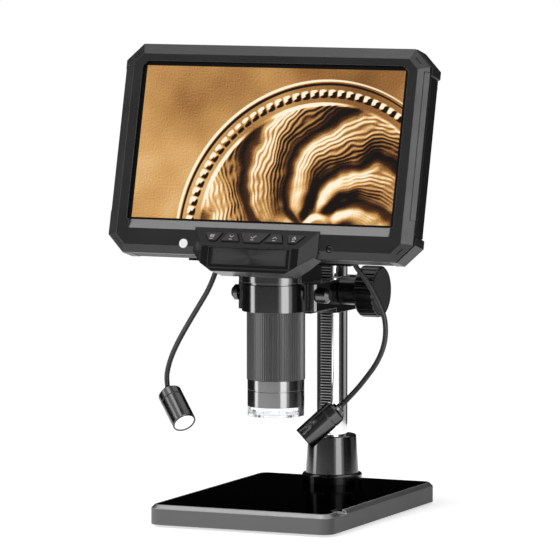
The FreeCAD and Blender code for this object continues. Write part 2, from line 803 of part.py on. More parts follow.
cut_block(bezel, -panel_half, panel_half, panel_low, panel_top, bezel_back, glass_back)
sketch = new_sketch(bezel, bezel_front)
outline(sketch, window(opening_half, opening_low, opening_top, opening_cut))
pocket(bezel, sketch, bezel_front - glass_back)
sketch = new_sketch(bezel, role="YZ_Plane")
outline(sketch, [
    (ledge_low, bezel_front), (ledge_high, bezel_front), (ledge_high, glass_back),
    (opening_low, glass_back), (opening_low, -0.03),
])
pocket(bezel, sketch, 2 * picture_half, both_ways=True)
cut_block(bezel, -keys_half, keys_half, keys_low, -9.5, -0.5, bezel_front)
cut_block(bezel, -keys_half, keys_half, -9.6, flange_high, flange_floor, bezel_front)
cut_holes(bezel, case_screws, drill_radius, bezel_back, bezel_back + 2.5)
cut_holes(bezel, [disc_spot], disc_radius + fit, disc_seat, bezel_front)
cut_holes(bezel, [lens_spot], lens_radius + fit, lens_seat, bezel_front)


def corner_band(side_out, end_out, reach):
    x = case_half + side_out
    top = case_head + end_out
    low = case_foot - end_out
    slant = (side_out + end_out) / math.sqrt(2) - case_cut
    upper = [(x, case_head - case_cut - reach), (x, case_half + case_head + slant - x),
             (case_half + case_head + slant - top, top), (case_half - case_cut - reach, top)]
    lower = [(x, case_foot + case_cut + reach), (x, case_foot - case_half - slant + x),
             (case_half - case_foot + slant + low, low), (case_half - case_cut - reach, low)]
    return upper, lower


# Recesses round the corners for the bumpers, and a slot in each corner slope
bumper_side = 0.8
bumper_end = 0.1
bumper_sink = 1.0
bumper_back = -15.0
bumper_front = -2.8
inner_reach = 5.5
recesses = []
slots = []
room_in = corner_band(-bumper_sink - fit, -bumper_sink - fit, inner_reach + fit)
room_out = corner_band(3.0, 3.0, inner_reach + fit)
for number, (inner, outer) in enumerate(zip(room_in, room_out)):
    for side in (-1, 1):
        points = [(side * x, y) for x, y in inner + outer[::-1]]
        recesses.append(prism(f"recess_{number}_{side + 1}", points,
                              bumper_back - fit, bumper_front + fit, HEAD))
for side in (-1, 1):
    for end, edge, inset in ((1, case_head, bevel_wide), (-1, case_foot, bevel_foot)):
        outer_x = case_half - case_cut / 2
        outer_y = edge - end * case_cut / 2
        inner_x = case_half - bevel_wide - bevel_cut / 2
        inner_y = edge - end * (inset + bevel_cut / 2)
        middle = Vector(side * (outer_x + inner_x) / 2, (outer_y + inner_y) / 2,
                        bezel_front - bevel_deep / 2)
        along = Vector(side, -end, 0)
        run_in = ((outer_x - inner_x) + end * (outer_y - inner_y)) / math.sqrt(2)
        normal = Vector(side * bevel_deep, end * bevel_deep, run_in * math.sqrt(2))
        turn = Rotation(along, Vector(), normal, "ZXY")
        slot_frame = HEAD.multiply(Placement(middle, turn))
        slots.append(brick(f"slot_{side + 1}_{end + 1}", -slot_long / 2, slot_long / 2,
                           -slot_wide / 2, slot_wide / 2, -slot_deep, 2, slot_frame))
keep(without("front_bezel", bezel, recesses + slots))

glass_outline = window(opening_half - glass_gap, opening_low + 0.1, opening_top - glass_gap, opening_cut)
keep(prism("screen_glass", glass_outline, glass_back, 0, HEAD))
keep(brick("lcd_panel", -panel_half + 0.2, panel_half - 0.2, panel_low + 0.2, panel_top - 0.2,
           panel_back, glass_back, HEAD))
keep(rod("status_disc", disc_radius, 1.2, Vector(), Z_AXIS))
kept[-1].Placement = HEAD.multiply(Placement(Vector(*disc_spot, disc_seat), Rotation()))
keep(turned("status_lens", [
    (0, 0), (lens_radius, 0), (lens_radius, 0.9), (1.6, 0.9), (0.9, 0.6), (0, 0.5),
], HEAD.multiply(Placement(Vector(*lens_spot, lens_seat), Rotation()))))

# Rear cover with posts for the screws and the board
lip_high = 0.6
lip_in = 0.7
case_wall = 2.4
board_back = -7.0
board_posts = [(x, y) for x in (-56, 56) for y in (9, 56)]
inner_back = case_back + 2
cover_body = prism("rear_cover_body", octagon(case_half, case_foot, case_head, size["case_corner"]),
                   case_back, bezel_back - lip_high, HEAD)
bevel(cover_body, 4, lambda e: at_level(e, case_back))
sketch = new_sketch(cover_body, bezel_back - lip_high)
outline(sketch, octagon(case_half - lip_in, case_foot + lip_in, case_head - lip_in, size["case_corner"]))
pad(cover_body, sketch, lip_high)
sketch = new_sketch(cover_body, bezel_back)
outline(sketch, octagon(
    case_half - case_wall, case_foot + case_wall, case_head - case_wall, size["case_corner"]))
for x, y in case_screws:
    disc(sketch, x, y, 2.6 if abs(x) < panel_half - 5 else 1.7)
for x, y in board_posts:
    disc(sketch, x, y, 3)
pocket(cover_body, sketch, bezel_back - inner_back)
cut_holes(cover_body, board_posts, 3.5, board_back, bezel_back)
cut_holes(cover_body, case_screws, drill_radius, case_back, bezel_back)
port_cuts = []
port_sockets = []
for name, low, high, middle, half, inner_wall, depth in (
        ("usb", 25.4, 34.6, -11.0, 1.65, 0.6, 8.0), ("card", 42.4, 54.6, -11.0, 1.05, 0.5, 12.0)):
    port_cuts.append(brick(
        f"{name}_cut", -case_half - 1, -case_half + 10, low, high, middle - half, middle + half, HEAD))
    shell = brick(f"{name}_port", -case_half + 0.1, -case_half + depth, low + fit, high - fit,
                  middle - half + fit, middle + half - fit, HEAD)
    mouth = brick(f"{name}_hole", -case_half, -case_half + depth - 2, low + fit + 0.65, high - fit - 0.65,
                  middle - half + fit + inner_wall, middle + half - fit - inner_wall, HEAD)
    port_sockets.append(without(f"{name}_socket", shell, [mouth]))
keep(without("rear_cover", cover_body, port_cuts + recesses))
keep(group("side_ports", port_sockets))

case_head_radius = 2.1
case_head_high = 1.4
screws = []
for number, (x, y) in enumerate(case_screws, start=1):
    head = rod(f"case_screw_head_{number}", case_head_radius, case_head_high, Vector())
    head.Placement = HEAD.multiply(Placement(Vector(x, y, case_back - case_head_high), Rotation()))
    shank = rod(f"case_screw_shank_{number}", drill_radius - 0.1, -case_back - 2, Vector())
    shank.Placement = HEAD.multiply(Placement(Vector(x, y, case_back), Rotation()))
    screws.append(joined(f"case_screw_{number}", [head, shank]))
keep(group("housing_screws", screws))

board_front = board_back + 1.6
main_plate = brick("main_plate", -60, 60, 5, 60, board_back, board_front, HEAD)
chips = [
    brick("chip_a", -12, 2, 26, 40, board_front, board_front + 1, HEAD),
    brick("chip_b", 14, 24, 20, 32, board_front, board_front + 0.8, HEAD),
    brick("chip_c", -34, -24, 14, 22, board_front, board_front + 0.8, HEAD),
]
keep(joined("main_board", [main_plate] + chips))
keep(brick("battery", -35, 35, 62, 90, inner_back, inner_back + 6, HEAD))

# Black bumpers pressed round the four corners of the housing
bumpers = []
bumper_in = corner_band(-bumper_sink, -bumper_sink, inner_reach)
bumper_out = corner_band(bumper_side, bumper_end, inner_reach - 1)
for name, inner, outer in zip(("top", "low"), bumper_in, bumper_out):
    for side, mirror in (("right", 1), ("left", -1)):
        points = [(mirror * x, y) for x, y in inner + outer[::-1]]
        bumpers.append(prism(f"bumper_{name}_{side}", points, bumper_back, bumper_front, HEAD))
keep(group("corner_bumpers", bumpers))

# Box behind the screen that joins the housing to the neck
box_half = 48.0
box_drop = head_origin.z - saddle_top
box_front = head_origin.y - (case_back + box_drop * math.sin(lean)) / math.cos(lean)
box_back = -3.0
box_top = saddle_top + 17.7
box_reach = 35.0
box_wall = 2.0
box_bevel = 4.0
wire_root = (40.5, -10.0)
socket_radius = 3.2
socket_lip = socket_radius + 0.6
plane_low = in_head(box_front, saddle_top)
box_points = [
    (plane_low[0], case_back), in_head(box_back, saddle_top), in_head(box_back, box_top),
    (box_reach, case_back),
]
box_body = new_body("rear_box_body", HEAD)
sketch = new_sketch(box_body, role="YZ_Plane")
outline(sketch, box_points)
pad(box_body, sketch, 2 * box_half, both_ways=True)
bevel(box_body, box_bevel, lambda e: e.BoundBox.XLength < box_half
      and e.CenterOfMass.z < case_back - 0.5 and e.CenterOfMass.y > plane_low[0] + box_bevel)
hollow = new_body("rear_box_hollow", HEAD)
sketch = new_sketch(hollow, role="YZ_Plane")
inner_low = in_head(box_front, saddle_top + box_wall)
outline(sketch, [
    (inner_low[0], case_back - 1), in_head(box_back - wall, saddle_top + box_wall),
    in_head(box_back - wall - 0.5, box_top - box_wall), (box_reach - 7, case_back - 1),
])
pad(hollow, sketch, 2 * (box_half - wall), both_ways=True)
window = brick("camera_window", -camera_half - 0.3, camera_half + 0.3, camera_front - 0.4,
               camera_back + 0.3, saddle_top - 1, saddle_top + 4)
tools = [hollow, window]
for side, x in (("right", wire_root[0]), ("left", -wire_root[0])):
    hole_foot = Vector(x, wire_root[1], saddle_top - 1)
    tools.append(rod(f"socket_hole_{side}", socket_radius + fit, 4, hole_foot))
keep(without("rear_box", box_body, tools))

# Control box under the screen: sloped key face, upright front, splayed sides
chin_front = 9.1
chin_low = -28.9
chin_crease = -15.0
chin_half = 36.9
chin_top = -4.0
chin_back = -7.0
chin_face = 28.7
chin_wide = 40.0
cut_high = -17.5
pane_half = 22.0
pane_low = -25.0
pane_high = -15.9
pane_back = 8.3
pane_front = 9.3
pane_frame = 0.8
chin = keep(new_body("control_box", HEAD))
sketch = new_sketch(chin, role="YZ_Plane")
outline(sketch, [
    (chin_top, bezel_front), (chin_crease, chin_front), (chin_low, chin_front), (chin_low, chin_back),
    (case_foot, chin_back), (case_foot, bezel_front),
])
pad(chin, sketch, 2 * chin_half, both_ways=True)
for side in (-1, 1):
    sketch = new_sketch(chin, chin_wide, role="XZ_Plane")
    outline(sketch, [(side * chin_face, chin_front), (side * chin_wide, chin_front),
                     (side * chin_wide, bezel_front), (side * chin_half, bezel_front)])
    pocket(chin, sketch, 2 * chin_wide, both_ways=True)
    sketch = new_sketch(chin, chin_front)
    outline(sketch, [(side * chin_half, cut_high), (side * 28.5, -24.8), (side * 22, chin_low),
                     (side * chin_wide, chin_low), (side * chin_wide, cut_high)])
    pocket(chin, sketch, 20)
sketch = new_sketch(chin, chin_front)
outline(sketch, block_points(-pane_half - 2.4, pane_half + 2.4, pane_low - 2.3, pane_high + 0.5))
pad(chin, sketch, pane_frame)
bevel(chin, 0.5, lambda e: at_level(e, chin_front + pane_frame))
cut_block(chin, -pane_half, pane_half, pane_low, pane_high, pane_back, chin_front + pane_frame)
key_room = (-7.6, bezel_front)
for half, corner in ((28.4, (-15.4, 7.0)), (keys_half, (-12.1, 4.8))):
    sketch = new_sketch(chin, role="YZ_Plane")
    outline(sketch, [key_room, corner, (keys_low, corner[1]), (keys_low, bezel_front)])
    pocket(chin, sketch, 2 * half, both_ways=True)
keep(brick("window_lens", -pane_half + fit, pane_half - fit, pane_low + fit, pane_high - fit,
           pane_back, pane_front, HEAD))

# Five keys in the sloped face, seen in the frame of that face
slope = math.degrees(math.atan2(bezel_front - chin_front, chin_top - chin_crease))
key_face = Placement(Vector(0, chin_crease, chin_front), Rotation(X_AXIS, slope))
KEYS = HEAD.multiply(key_face)
key_low = 3.2
key_high = 9.2
key_back = -2.1
key_front = 0.9
key_gap = 0.2
flange_back = -2.8
stem_back = -3.55
keys = {
    "menu": (-29.5, -19.0, -25.5, -21.3),
    "down": (-15.8, -10.4, -18.3, -7.3),
    "ok": (-8.6, 8.6, -4.6, 4.6),
    "up": (10.4, 15.8, 7.3, 18.3),
    "power": (19.0, 29.5, 21.3, 25.5),
}


def key_outline(name, grow):
    top0, top1, low0, low1 = keys[name]
    low, high = key_low - grow, key_high + grow
    if name == "ok":
        low, high = low - 0.6, high + 0.6
    return [(low0 - grow, low), (low1 + grow, low), (top1 + grow, high), (top0 - grow, high)]


for name in keys:
    sketch = new_sketch(chin)
    sketch.AttachmentOffset = key_face
    outline(sketch, key_outline(name, key_gap))
    pocket(chin, sketch, 2.4)
keep(brick("button_board", -keys_half + 0.1, keys_half - 0.1, 1.6, 9.0, -5.2, -4.2, KEYS))
for name in keys:
    label = f"button_{name}"
    key = keep(prism(label, key_outline(name, 0), key_back, key_front, KEYS))
    bevel(key, 0.3, lambda e: at_level(e, key_front))
    low0, low1 = max(keys[name][0], keys[name][2]), min(keys[name][1], keys[name][3])
    sketch = new_sketch(key, flange_back)
    grow = 1.2 if name == "ok" else 0.6
    outline(sketch, block_points(low0, low1, key_low - grow, key_high + grow))
    pad(key, sketch, key_back - flange_back)
    middle = (low0 + low1) / 2
    sketch = new_sketch(key, stem_back)
    outline(sketch, block_points(middle - 1.2, middle + 1.2, 4.6, 7.0))
    pad(key, sketch, flange_back - stem_back)

# Goosenecks: an upper and a lower length of bending tube, then a lamp on a small ball
wire = size["neck_wire"]
lamp_radius = size["lamp_radius"]
lamp_length = size["lamp_length"]
ball_radius = 2.2
ball_room = 0.1
lamp_gap = 2.0
lamp_seat = 9.0
lens_deep = 2.2
lens_in = 0.7
lamp_lip = 0.9
lamp_groove = 6.0
groove_wide = 0.6
lamp_wall = 1.8
wire_top = 148.0
straight_out = 2.0
run_share = 0.45
bend_gap = 0.2
sockets = []
routes = {
    "left": {
        "way": -1,
        "upper": [(-47.1, -8.6, 125.2), (-54.9, -5.3, 115), (-64.2, -0.3, 103.6), (-72, 4.1, 93.6)],
        "lower": [(-78.3, 7.7, 84), (-81.7, 9.8, 75.9), (-82.6, 10.5, 70.6)],
        "lamp": (-73.3, 4.0, 55.7),
        "aim": (0.612, -0.479, -0.629),
    },
    "right": {
        "way": 1,
        "upper": [(47.2, -9.5, 132.6), (52.6, -8.1, 122.9), (56.3, -6.2, 113.1), (56.4, -4.4, 104.6)],
        "lower": [(54.5, -2.6, 96), (49.5, -0.6, 86.5), (42.1, 1, 77.5), (34.8, 2, 69.3)],
        "lamp": (17.0, -3.0, 51.5),
        "aim": (-0.646, -0.371, -0.667),
    },
}


def bent_tube(points):
    edges = []
    start = points[0]
    for before, corner, after in zip(points, points[1:], points[2:]):
        into = (corner - before).normalize()
        out = (after - corner).normalize()
        half_turn = into.getAngle(out) / 2
        reach = run_share * min((corner - before).Length, (after - corner).Length)
        radius = reach / math.tan(half_turn)
        inward = (out - into).normalize()
        middle = corner + inward * (radius / math.cos(half_turn) - radius)
        edges.append(Part.LineSegment(start, corner - into * reach).toShape())
        edges.append(Part.Arc(corner - into * reach, middle, corner + out * reach).toShape())
        start = corner + out * reach
    edges.append(Part.LineSegment(start, points[-1]).toShape())
    path = Part.Wire(edges)
    ring = Part.Wire([Part.Circle(points[0], points[1] - points[0], wire).toShape()])
    tube = path.makePipeShell([ring], True, False)
    expected = math.pi * wire ** 2 * path.Length
    if abs(tube.Volume - expected) > 0.01 * expected:
        raise RuntimeError(f"a gooseneck holds {tube.Volume:.0f} mm3 in place of {expected:.0f}")
    return tube


for side, route in routes.items():
    aim = Vector(*route["aim"]).normalize()
    middle = Vector(*route["lamp"])
    back = middle - aim * (lamp_length / 2)
    ball = back - aim * lamp_gap
    upper_points = [Vector(*p) for p in route["upper"]]
    lower_points = [Vector(*p) for p in route["lower"]]
    root = Vector(route["way"] * wire_root[0], wire_root[1], saddle_top)
    leaves = root - Z_AXIS * straight_out
    bend = (upper_points[-1] + lower_points[0]) / 2

    upper = doc.addObject("Part::Feature", f"{side}_neck_upper")
    tube = bent_tube([root, leaves] + upper_points + [bend])
    stem = Part.makeCylinder(wire, wire_top - saddle_top, root)
    tip = Part.makeSphere(wire, bend, bend - upper_points[-1])
    upper.Shape = tube.fuse([stem, tip]).removeSplitter()
    keep(upper)
    lower = doc.addObject("Part::Feature", f"{side}_neck_lower")
    room = Part.makeSphere(wire + bend_gap, bend, lower_points[0] - bend)
    knuckle = Part.makeSphere(ball_radius, ball, ball - lower_points[-1])
    tube = bent_tube([bend] + lower_points + [ball])
    lower.Shape = tube.cut(room).fuse(knuckle).removeSplitter()
    keep(lower)

    lamp_frame = Placement(back, Rotation(Z_AXIS, aim))
    bore = lamp_radius - lamp_lip
    core = lamp_radius - lamp_wall
    floor = lamp_length - lens_deep
    cup = turned(f"{side}_lamp_shell", [
        (0, -lamp_gap + 0.4), (3.4, -lamp_gap + 0.4), (3.8, 0), (lamp_radius - 1.2, 0),
        (lamp_radius, 1.2), (lamp_radius, lamp_groove), (lamp_radius - 0.3, lamp_groove),
        (lamp_radius - 0.3, lamp_groove + groove_wide), (lamp_radius, lamp_groove + groove_wide),
        (lamp_radius, lamp_length - 0.4), (lamp_radius - 0.4, lamp_length), (bore, lamp_length),
        (bore, floor), (core, floor), (core, lamp_seat), (0, lamp_seat),
    ], lamp_frame)
    hollow = doc.addObject("Part::Sphere", f"{side}_cup_cut")
    hollow.Radius = ball_radius + ball_room
    hollow.Placement = Placement(ball, Rotation())
    keep(without(f"{side}_lamp_housing", cup, [hollow]))
    keep(turned(f"{side}_lamp_lens", [
        (0, floor), (bore - fit, floor), (bore - fit, lamp_length - lens_in), (0, lamp_length - lens_in),
    ], lamp_frame))
    keep(turned(f"{side}_lamp_light", [
        (0, lamp_seat), (core - fit, lamp_seat), (core - fit, lamp_seat + 1.2), (1.8, lamp_seat + 1.2),
        (1.8, lamp_seat + 2.4), (0, lamp_seat + 2.4),
    ], lamp_frame))

    socket_frame = Placement(Vector(root.x, root.y, 0), Rotation())
    top = saddle_top + 2
    sockets.append(turned(f"{side}_socket", [
        (wire + run, saddle_top), (socket_radius, saddle_top), (socket_radius, top),
        (socket_lip, top), (socket_lip, top + 1.2), (socket_radius, top + 1.2),
        (socket_radius, top + 4), (wire + run, top + 4),
    ], socket_frame))
keep(group("neck_sockets", sockets))

# Check every piece, then write it
doc.recompute()
for item in doc.Objects:
    bad = [state for state in item.State if state in ("Invalid", "Error")]
    if bad:
        raise RuntimeError(f"{item.Label} is {bad[0]}")
for item in kept:
    shape = item.Shape
    if shape.isNull() or not shape.isValid() or not shape.Solids:
        raise RuntimeError(f"{item.Label} has no valid solid")
for item in kept:
    item.Shape.exportStep(f"parts/{item.Label}.step")
    box = item.Shape.optimalBoundingBox()
    low = f"{box.XMin:.1f} {box.YMin:.1f} {box.ZMin:.1f}"
    high = f"{box.XMax:.1f} {box.YMax:.1f} {box.ZMax:.1f}"
    print(f"{item.Label}: {len(item.Shape.Solids)} solid, {item.Shape.Volume:.0f} mm3, {low} to {high}")
print(len(kept), "pieces")
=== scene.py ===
import math
import bmesh
import bpy
from mathutils import Matrix, Vector


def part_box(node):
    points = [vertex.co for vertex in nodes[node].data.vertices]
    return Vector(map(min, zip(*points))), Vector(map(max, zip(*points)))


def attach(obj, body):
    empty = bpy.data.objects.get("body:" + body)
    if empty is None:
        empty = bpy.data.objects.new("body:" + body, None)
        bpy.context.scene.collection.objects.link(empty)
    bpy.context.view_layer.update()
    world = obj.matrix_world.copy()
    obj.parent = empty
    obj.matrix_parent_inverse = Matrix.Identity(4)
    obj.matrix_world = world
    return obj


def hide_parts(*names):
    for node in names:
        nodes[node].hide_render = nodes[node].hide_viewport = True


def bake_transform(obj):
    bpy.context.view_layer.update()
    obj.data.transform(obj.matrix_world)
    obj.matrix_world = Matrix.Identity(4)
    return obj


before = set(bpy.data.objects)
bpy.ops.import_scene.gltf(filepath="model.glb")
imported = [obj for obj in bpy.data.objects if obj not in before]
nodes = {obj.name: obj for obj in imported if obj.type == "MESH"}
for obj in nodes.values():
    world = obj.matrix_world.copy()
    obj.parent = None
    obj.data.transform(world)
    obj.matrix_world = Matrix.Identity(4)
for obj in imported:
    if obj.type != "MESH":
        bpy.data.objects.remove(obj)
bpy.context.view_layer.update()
bpy.ops.object.select_all(action="DESELECT")


# Base shell
# A hollow metal casting sprayed in a satin dark grey, with a bright-cut chamfer round its top.
# The spray leaves a fine even grain, and its edges are lighter: partly rubbed by hands, partly a painted
# highlight along the edges.
def new_group(name, inputs, outputs):
    group = bpy.data.node_groups.new(name, "ShaderNodeTree")
    for label, kind, value in inputs:
        socket = group.interface.new_socket(label, in_out="INPUT", socket_type=kind)
        socket.default_value = value
    for label, kind in outputs:
        group.interface.new_socket(label, in_out="OUTPUT", socket_type=kind)
    return group, group.nodes.new("NodeGroupInput"), group.nodes.new("NodeGroupOutput")


def put(tree, kind, **values):
    node = tree.nodes.new(kind)
    for key, value in values.items():
        setattr(node, key, value)
    return node


def calc(tree, operation, first, second=None, third=None):
    node = put(tree, "ShaderNodeMath", operation=operation)
    for socket, source in zip(node.inputs, (first, second, third)):
        if source is None:
            continue
        if isinstance(source, (int, float)):
            socket.default_value = source
        else:
            tree.links.new(source, socket)
    return node.outputs["Value"]


def ease(tree, source, low, high):
    node = put(tree, "ShaderNodeMapRange", interpolation_type="SMOOTHSTEP")
    node.inputs["From Min"].default_value = low
    node.inputs["From Max"].default_value = high
    tree.links.new(source, node.inputs["Value"])
    return node.outputs["Result"]


def new_finish(name, **sockets):
    finish = bpy.data.materials.new(name)
    finish.use_nodes = True
    shader = finish.node_tree.nodes["Principled BSDF"]
    for label, value in sockets.items():
        shader.inputs[label.replace("_", " ")].default_value = value
    return finish


def use_group(finish, group, links, **values):
    tree = finish.node_tree
    shader = tree.nodes["Principled BSDF"]
    node = put(tree, "ShaderNodeGroup", node_tree=group)
    for label, value in values.items():
        node.inputs[label.replace("_", " ")].default_value = value
    for output in links:
        tree.links.new(node.outputs[output], shader.inputs[output])


def two_tone(tree, mask, under, over):
    mix = put(tree, "ShaderNodeMix", data_type="RGBA")
    tree.links.new(mask, mix.inputs["Factor"])
    tree.links.new(under, mix.inputs["A"])
    mix.inputs["B"].default_value = over
    tree.links.new(mix.outputs["Result"], tree.nodes["Principled BSDF"].inputs["Base Color"])


def dress(finish, *names):
    for name in names:
        mesh = nodes[name].data
        mesh.materials.clear()
        mesh.materials.append(finish)


EDGE_WEAR_AND_HIGHLIGHT_FROM = 0.995
EDGE_WEAR_AND_HIGHLIGHT_FULL = 0.86
grain, given, result = new_group(
    "moulded_grain",
    [("Tone", "NodeSocketColor", (0.5, 0.5, 0.5, 1)), ("Spread", "NodeSocketFloat", 0.1),
     ("Fineness", "NodeSocketFloat", 2500), ("Depth", "NodeSocketFloat", 0.00003),
     ("Gloss", "NodeSocketFloat", 0.4), ("Edge", "NodeSocketFloat", 0.0003),
     ("Rub", "NodeSocketFloat", 0.3)],
    [("Base Color", "NodeSocketColor"), ("Roughness", "NodeSocketFloat"),
     ("Normal", "NodeSocketVector")])
place = put(grain, "ShaderNodeTexCoord")
fine = put(grain, "ShaderNodeTexNoise")
grain.links.new(place.outputs["Object"], fine.inputs["Vector"])
grain.links.new(given.outputs["Fineness"], fine.inputs["Scale"])
cloudy = put(grain, "ShaderNodeTexNoise")
cloudy.inputs["Scale"].default_value = 45
cloudy.inputs["Detail"].default_value = 4
grain.links.new(place.outputs["Object"], cloudy.inputs["Vector"])
soft_edge = put(grain, "ShaderNodeBevel", samples=6)
grain.links.new(given.outputs["Edge"], soft_edge.inputs["Radius"])
bump = put(grain, "ShaderNodeBump")
bump.inputs["Strength"].default_value = 1
grain.links.new(given.outputs["Depth"], bump.inputs["Distance"])
grain.links.new(fine.outputs["Fac"], bump.inputs["Height"])
grain.links.new(soft_edge.outputs["Normal"], bump.inputs["Normal"])
grain.links.new(bump.outputs["Normal"], result.inputs["Normal"])
# Edges are lightened where the rounded normal turns away from the flat face: partly rubbed wear, partly a
# painted highlight along every edge.
true_face = put(grain, "ShaderNodeNewGeometry")
facing = put(grain, "ShaderNodeVectorMath", operation="DOT_PRODUCT")
grain.links.new(soft_edge.outputs["Normal"], facing.inputs[0])
grain.links.new(true_face.outputs["True Normal"], facing.inputs[1])
edge_wear_and_highlight = ease(grain, facing.outputs["Value"], EDGE_WEAR_AND_HIGHLIGHT_FROM, EDGE_WEAR_AND_HIGHLIGHT_FULL)
edge_wear_and_highlight_gain = calc(grain, "MULTIPLY", edge_wear_and_highlight, given.outputs["Rub"])
uneven = calc(grain, "SUBTRACT", cloudy.outputs["Fac"], 0.5)
amount = calc(grain, "MULTIPLY_ADD", uneven, given.outputs["Spread"], 1)
toned = put(grain, "ShaderNodeVectorMath", operation="SCALE")
grain.links.new(given.outputs["Tone"], toned.inputs[0])
grain.links.new(calc(grain, "ADD", amount, edge_wear_and_highlight_gain), toned.inputs["Scale"])
grain.links.new(toned.outputs["Vector"], result.inputs["Base Color"])
grain.links.new(calc(grain, "MULTIPLY_ADD", uneven, 0.15, given.outputs["Gloss"]),
                result.inputs["Roughness"])
GRAINED = ("Base Color", "Roughness", "Normal")

base_paint = new_finish("satin_grey_paint", Specular_IOR_Level=0.12)
use_group(base_paint, grain, GRAINED, Tone=(0.16, 0.16, 0.162, 1), Spread=0.1, Fineness=2200,
          Depth=0.00002, Gloss=0.4, Edge=0.0006, Rub=4.5)
tree = base_paint.node_tree
shader = tree.nodes["Principled BSDF"]
painted = shader.inputs["Base Color"].links[0].from_socket
face = put(tree, "ShaderNodeNewGeometry")
split = put(tree, "ShaderNodeSeparateXYZ")
tree.links.new(face.outputs["True Normal"], split.inputs["Vector"])
CHAMFER_RISE = 0.7
CHAMFER_SPREAD = 0.2
chamfer = calc(tree, "COMPARE", split.outputs["Z"], CHAMFER_RISE, CHAMFER_SPREAD)
two_tone(tree, chamfer, painted, (0.3, 0.3, 0.3, 1))
tree.links.new(chamfer, shader.inputs["Metallic"])
dress(base_paint, "base_shell")


# Stage plate
# A polished black sheet let into the top of the base, as deep and even as black glass.
# It has no grain, only the faint clouding that wiping leaves in its shine.
def polished(name, tone, gloss, edge=0.0003, **sockets):
    finish = new_finish(name, **sockets)
    use_group(finish, grain, GRAINED, Tone=(tone, tone, tone, 1), Spread=0.15, Fineness=900,
              Depth=0.000002, Gloss=gloss, Edge=edge, Rub=0.2)
    return finish


plate_black = polished("polished_black_sheet", 0.025, 0.09, Metallic=1.0,
                       Specular_Tint=(0.02, 0.02, 0.02, 1))
dress(plate_black, "stage_plate")


# Bottom cover, its screws and the feet
# The cover is a moulded black plate held by four plated screws sunk in its corners.
# Four soft rubber feet are glued to it.
cover_black = new_finish("moulded_black", Specular_IOR_Level=0.25)
use_group(cover_black, grain, GRAINED, Tone=(0.03, 0.03, 0.03, 1), Spread=0.3, Fineness=1800,
          Depth=0.00005, Gloss=0.5, Edge=0.0004, Rub=0.5)
dress(cover_black, "base_cover", "pillar_cap", "neck_sockets")
foot_rubber = new_finish("foot_rubber", Specular_IOR_Level=0.2)
use_group(foot_rubber, grain, GRAINED, Tone=(0.025, 0.025, 0.025, 1), Spread=0.4, Fineness=1200,
          Depth=0.00008, Gloss=0.75, Edge=0.0005, Rub=0.3)
dress(foot_rubber, "rubber_feet")
plated = polished("plated_screws", 0.45, 0.3, Metallic=1.0)
dress(plated, "cover_screws", "arm_screws", "housing_screws", "pillar_bolt", "side_ports")


# Pillar, its socket and the rack
# The pillar is a chromed steel tube that stands in a tapered socket with a black lacquer.
# A milled steel rack is let into a groove down its front, with painted shade at the roots of its teeth.
turned, given, result = new_group(
    "turned_lines",
    [("Tone", "NodeSocketColor", (0.5, 0.5, 0.5, 1)), ("Spread", "NodeSocketFloat", 0.1),
     ("Fineness", "NodeSocketFloat", 3000), ("Depth", "NodeSocketFloat", 0.00001),
     ("Gloss", "NodeSocketFloat", 0.2), ("Edge", "NodeSocketFloat", 0.0002)],
    [("Base Color", "NodeSocketColor"), ("Roughness", "NodeSocketFloat"),
     ("Normal", "NodeSocketVector")])
place = put(turned, "ShaderNodeTexCoord")
split = put(turned, "ShaderNodeSeparateXYZ")
turned.links.new(place.outputs["Object"], split.inputs["Vector"])
lines = put(turned, "ShaderNodeTexNoise", noise_dimensions="1D")
lines.inputs["Detail"].default_value = 5
turned.links.new(split.outputs["Z"], lines.inputs["W"])
turned.links.new(given.outputs["Fineness"], lines.inputs["Scale"])
soft_edge = put(turned, "ShaderNodeBevel", samples=6)
turned.links.new(given.outputs["Edge"], soft_edge.inputs["Radius"])
bump = put(turned, "ShaderNodeBump")
turned.links.new(given.outputs["Depth"], bump.inputs["Distance"])
turned.links.new(lines.outputs["Fac"], bump.inputs["Height"])
turned.links.new(soft_edge.outputs["Normal"], bump.inputs["Normal"])
turned.links.new(bump.outputs["Normal"], result.inputs["Normal"])
uneven = calc(turned, "SUBTRACT", lines.outputs["Fac"], 0.5)
toned = put(turned, "ShaderNodeVectorMath", operation="SCALE")
turned.links.new(given.outputs["Tone"], toned.inputs[0])
turned.links.new(calc(turned, "MULTIPLY_ADD", uneven, given.outputs["Spread"], 1), toned.inputs["Scale"])
turned.links.new(toned.outputs["Vector"], result.inputs["Base Color"])
turned.links.new(calc(turned, "MULTIPLY_ADD", uneven, 0.1, given.outputs["Gloss"]),
                 result.inputs["Roughness"])


def lathe(name, tone, gloss, depth=0.000004):
    finish = new_finish(name, Metallic=1.0)
    use_group(finish, turned, GRAINED, Tone=(tone, tone, tone, 1), Spread=0.12, Depth=depth, Gloss=gloss)
    return finish


dress(lathe("chrome_plate", 0.88, 0.07, depth=0.000001), "pillar")
dress(lathe("black_lacquer", 0.1, 0.12), "pillar_socket")
milled = new_finish("milled_steel", Metallic=0.5)
use_group(milled, turned, GRAINED, Tone=(0.55, 0.55, 0.55, 1), Spread=0.12, Depth=0.000004, Gloss=0.35)
dress(milled, "rack", "pinion_shaft")
tree = milled.node_tree
shader = tree.nodes["Principled BSDF"]
unshaded_steel = shader.inputs["Base Color"].links[0].from_socket
place = put(tree, "ShaderNodeTexCoord")
split = put(tree, "ShaderNodeSeparateXYZ")
tree.links.new(place.outputs["Object"], split.inputs["Vector"])
tooth_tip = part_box("rack")[0][1]
# Painted shade: behind the tooth tips the steel is darkened to near black, in the gaps between the teeth.
ROOT_SHADE_FROM = 0.0001
ROOT_SHADE_FULL = 0.0007
root_shade = ease(tree, split.outputs["Y"], tooth_tip + ROOT_SHADE_FROM, tooth_tip + ROOT_SHADE_FULL)
two_tone(tree, root_shade, unshaded_steel, (0.02, 0.018, 0.015, 1))


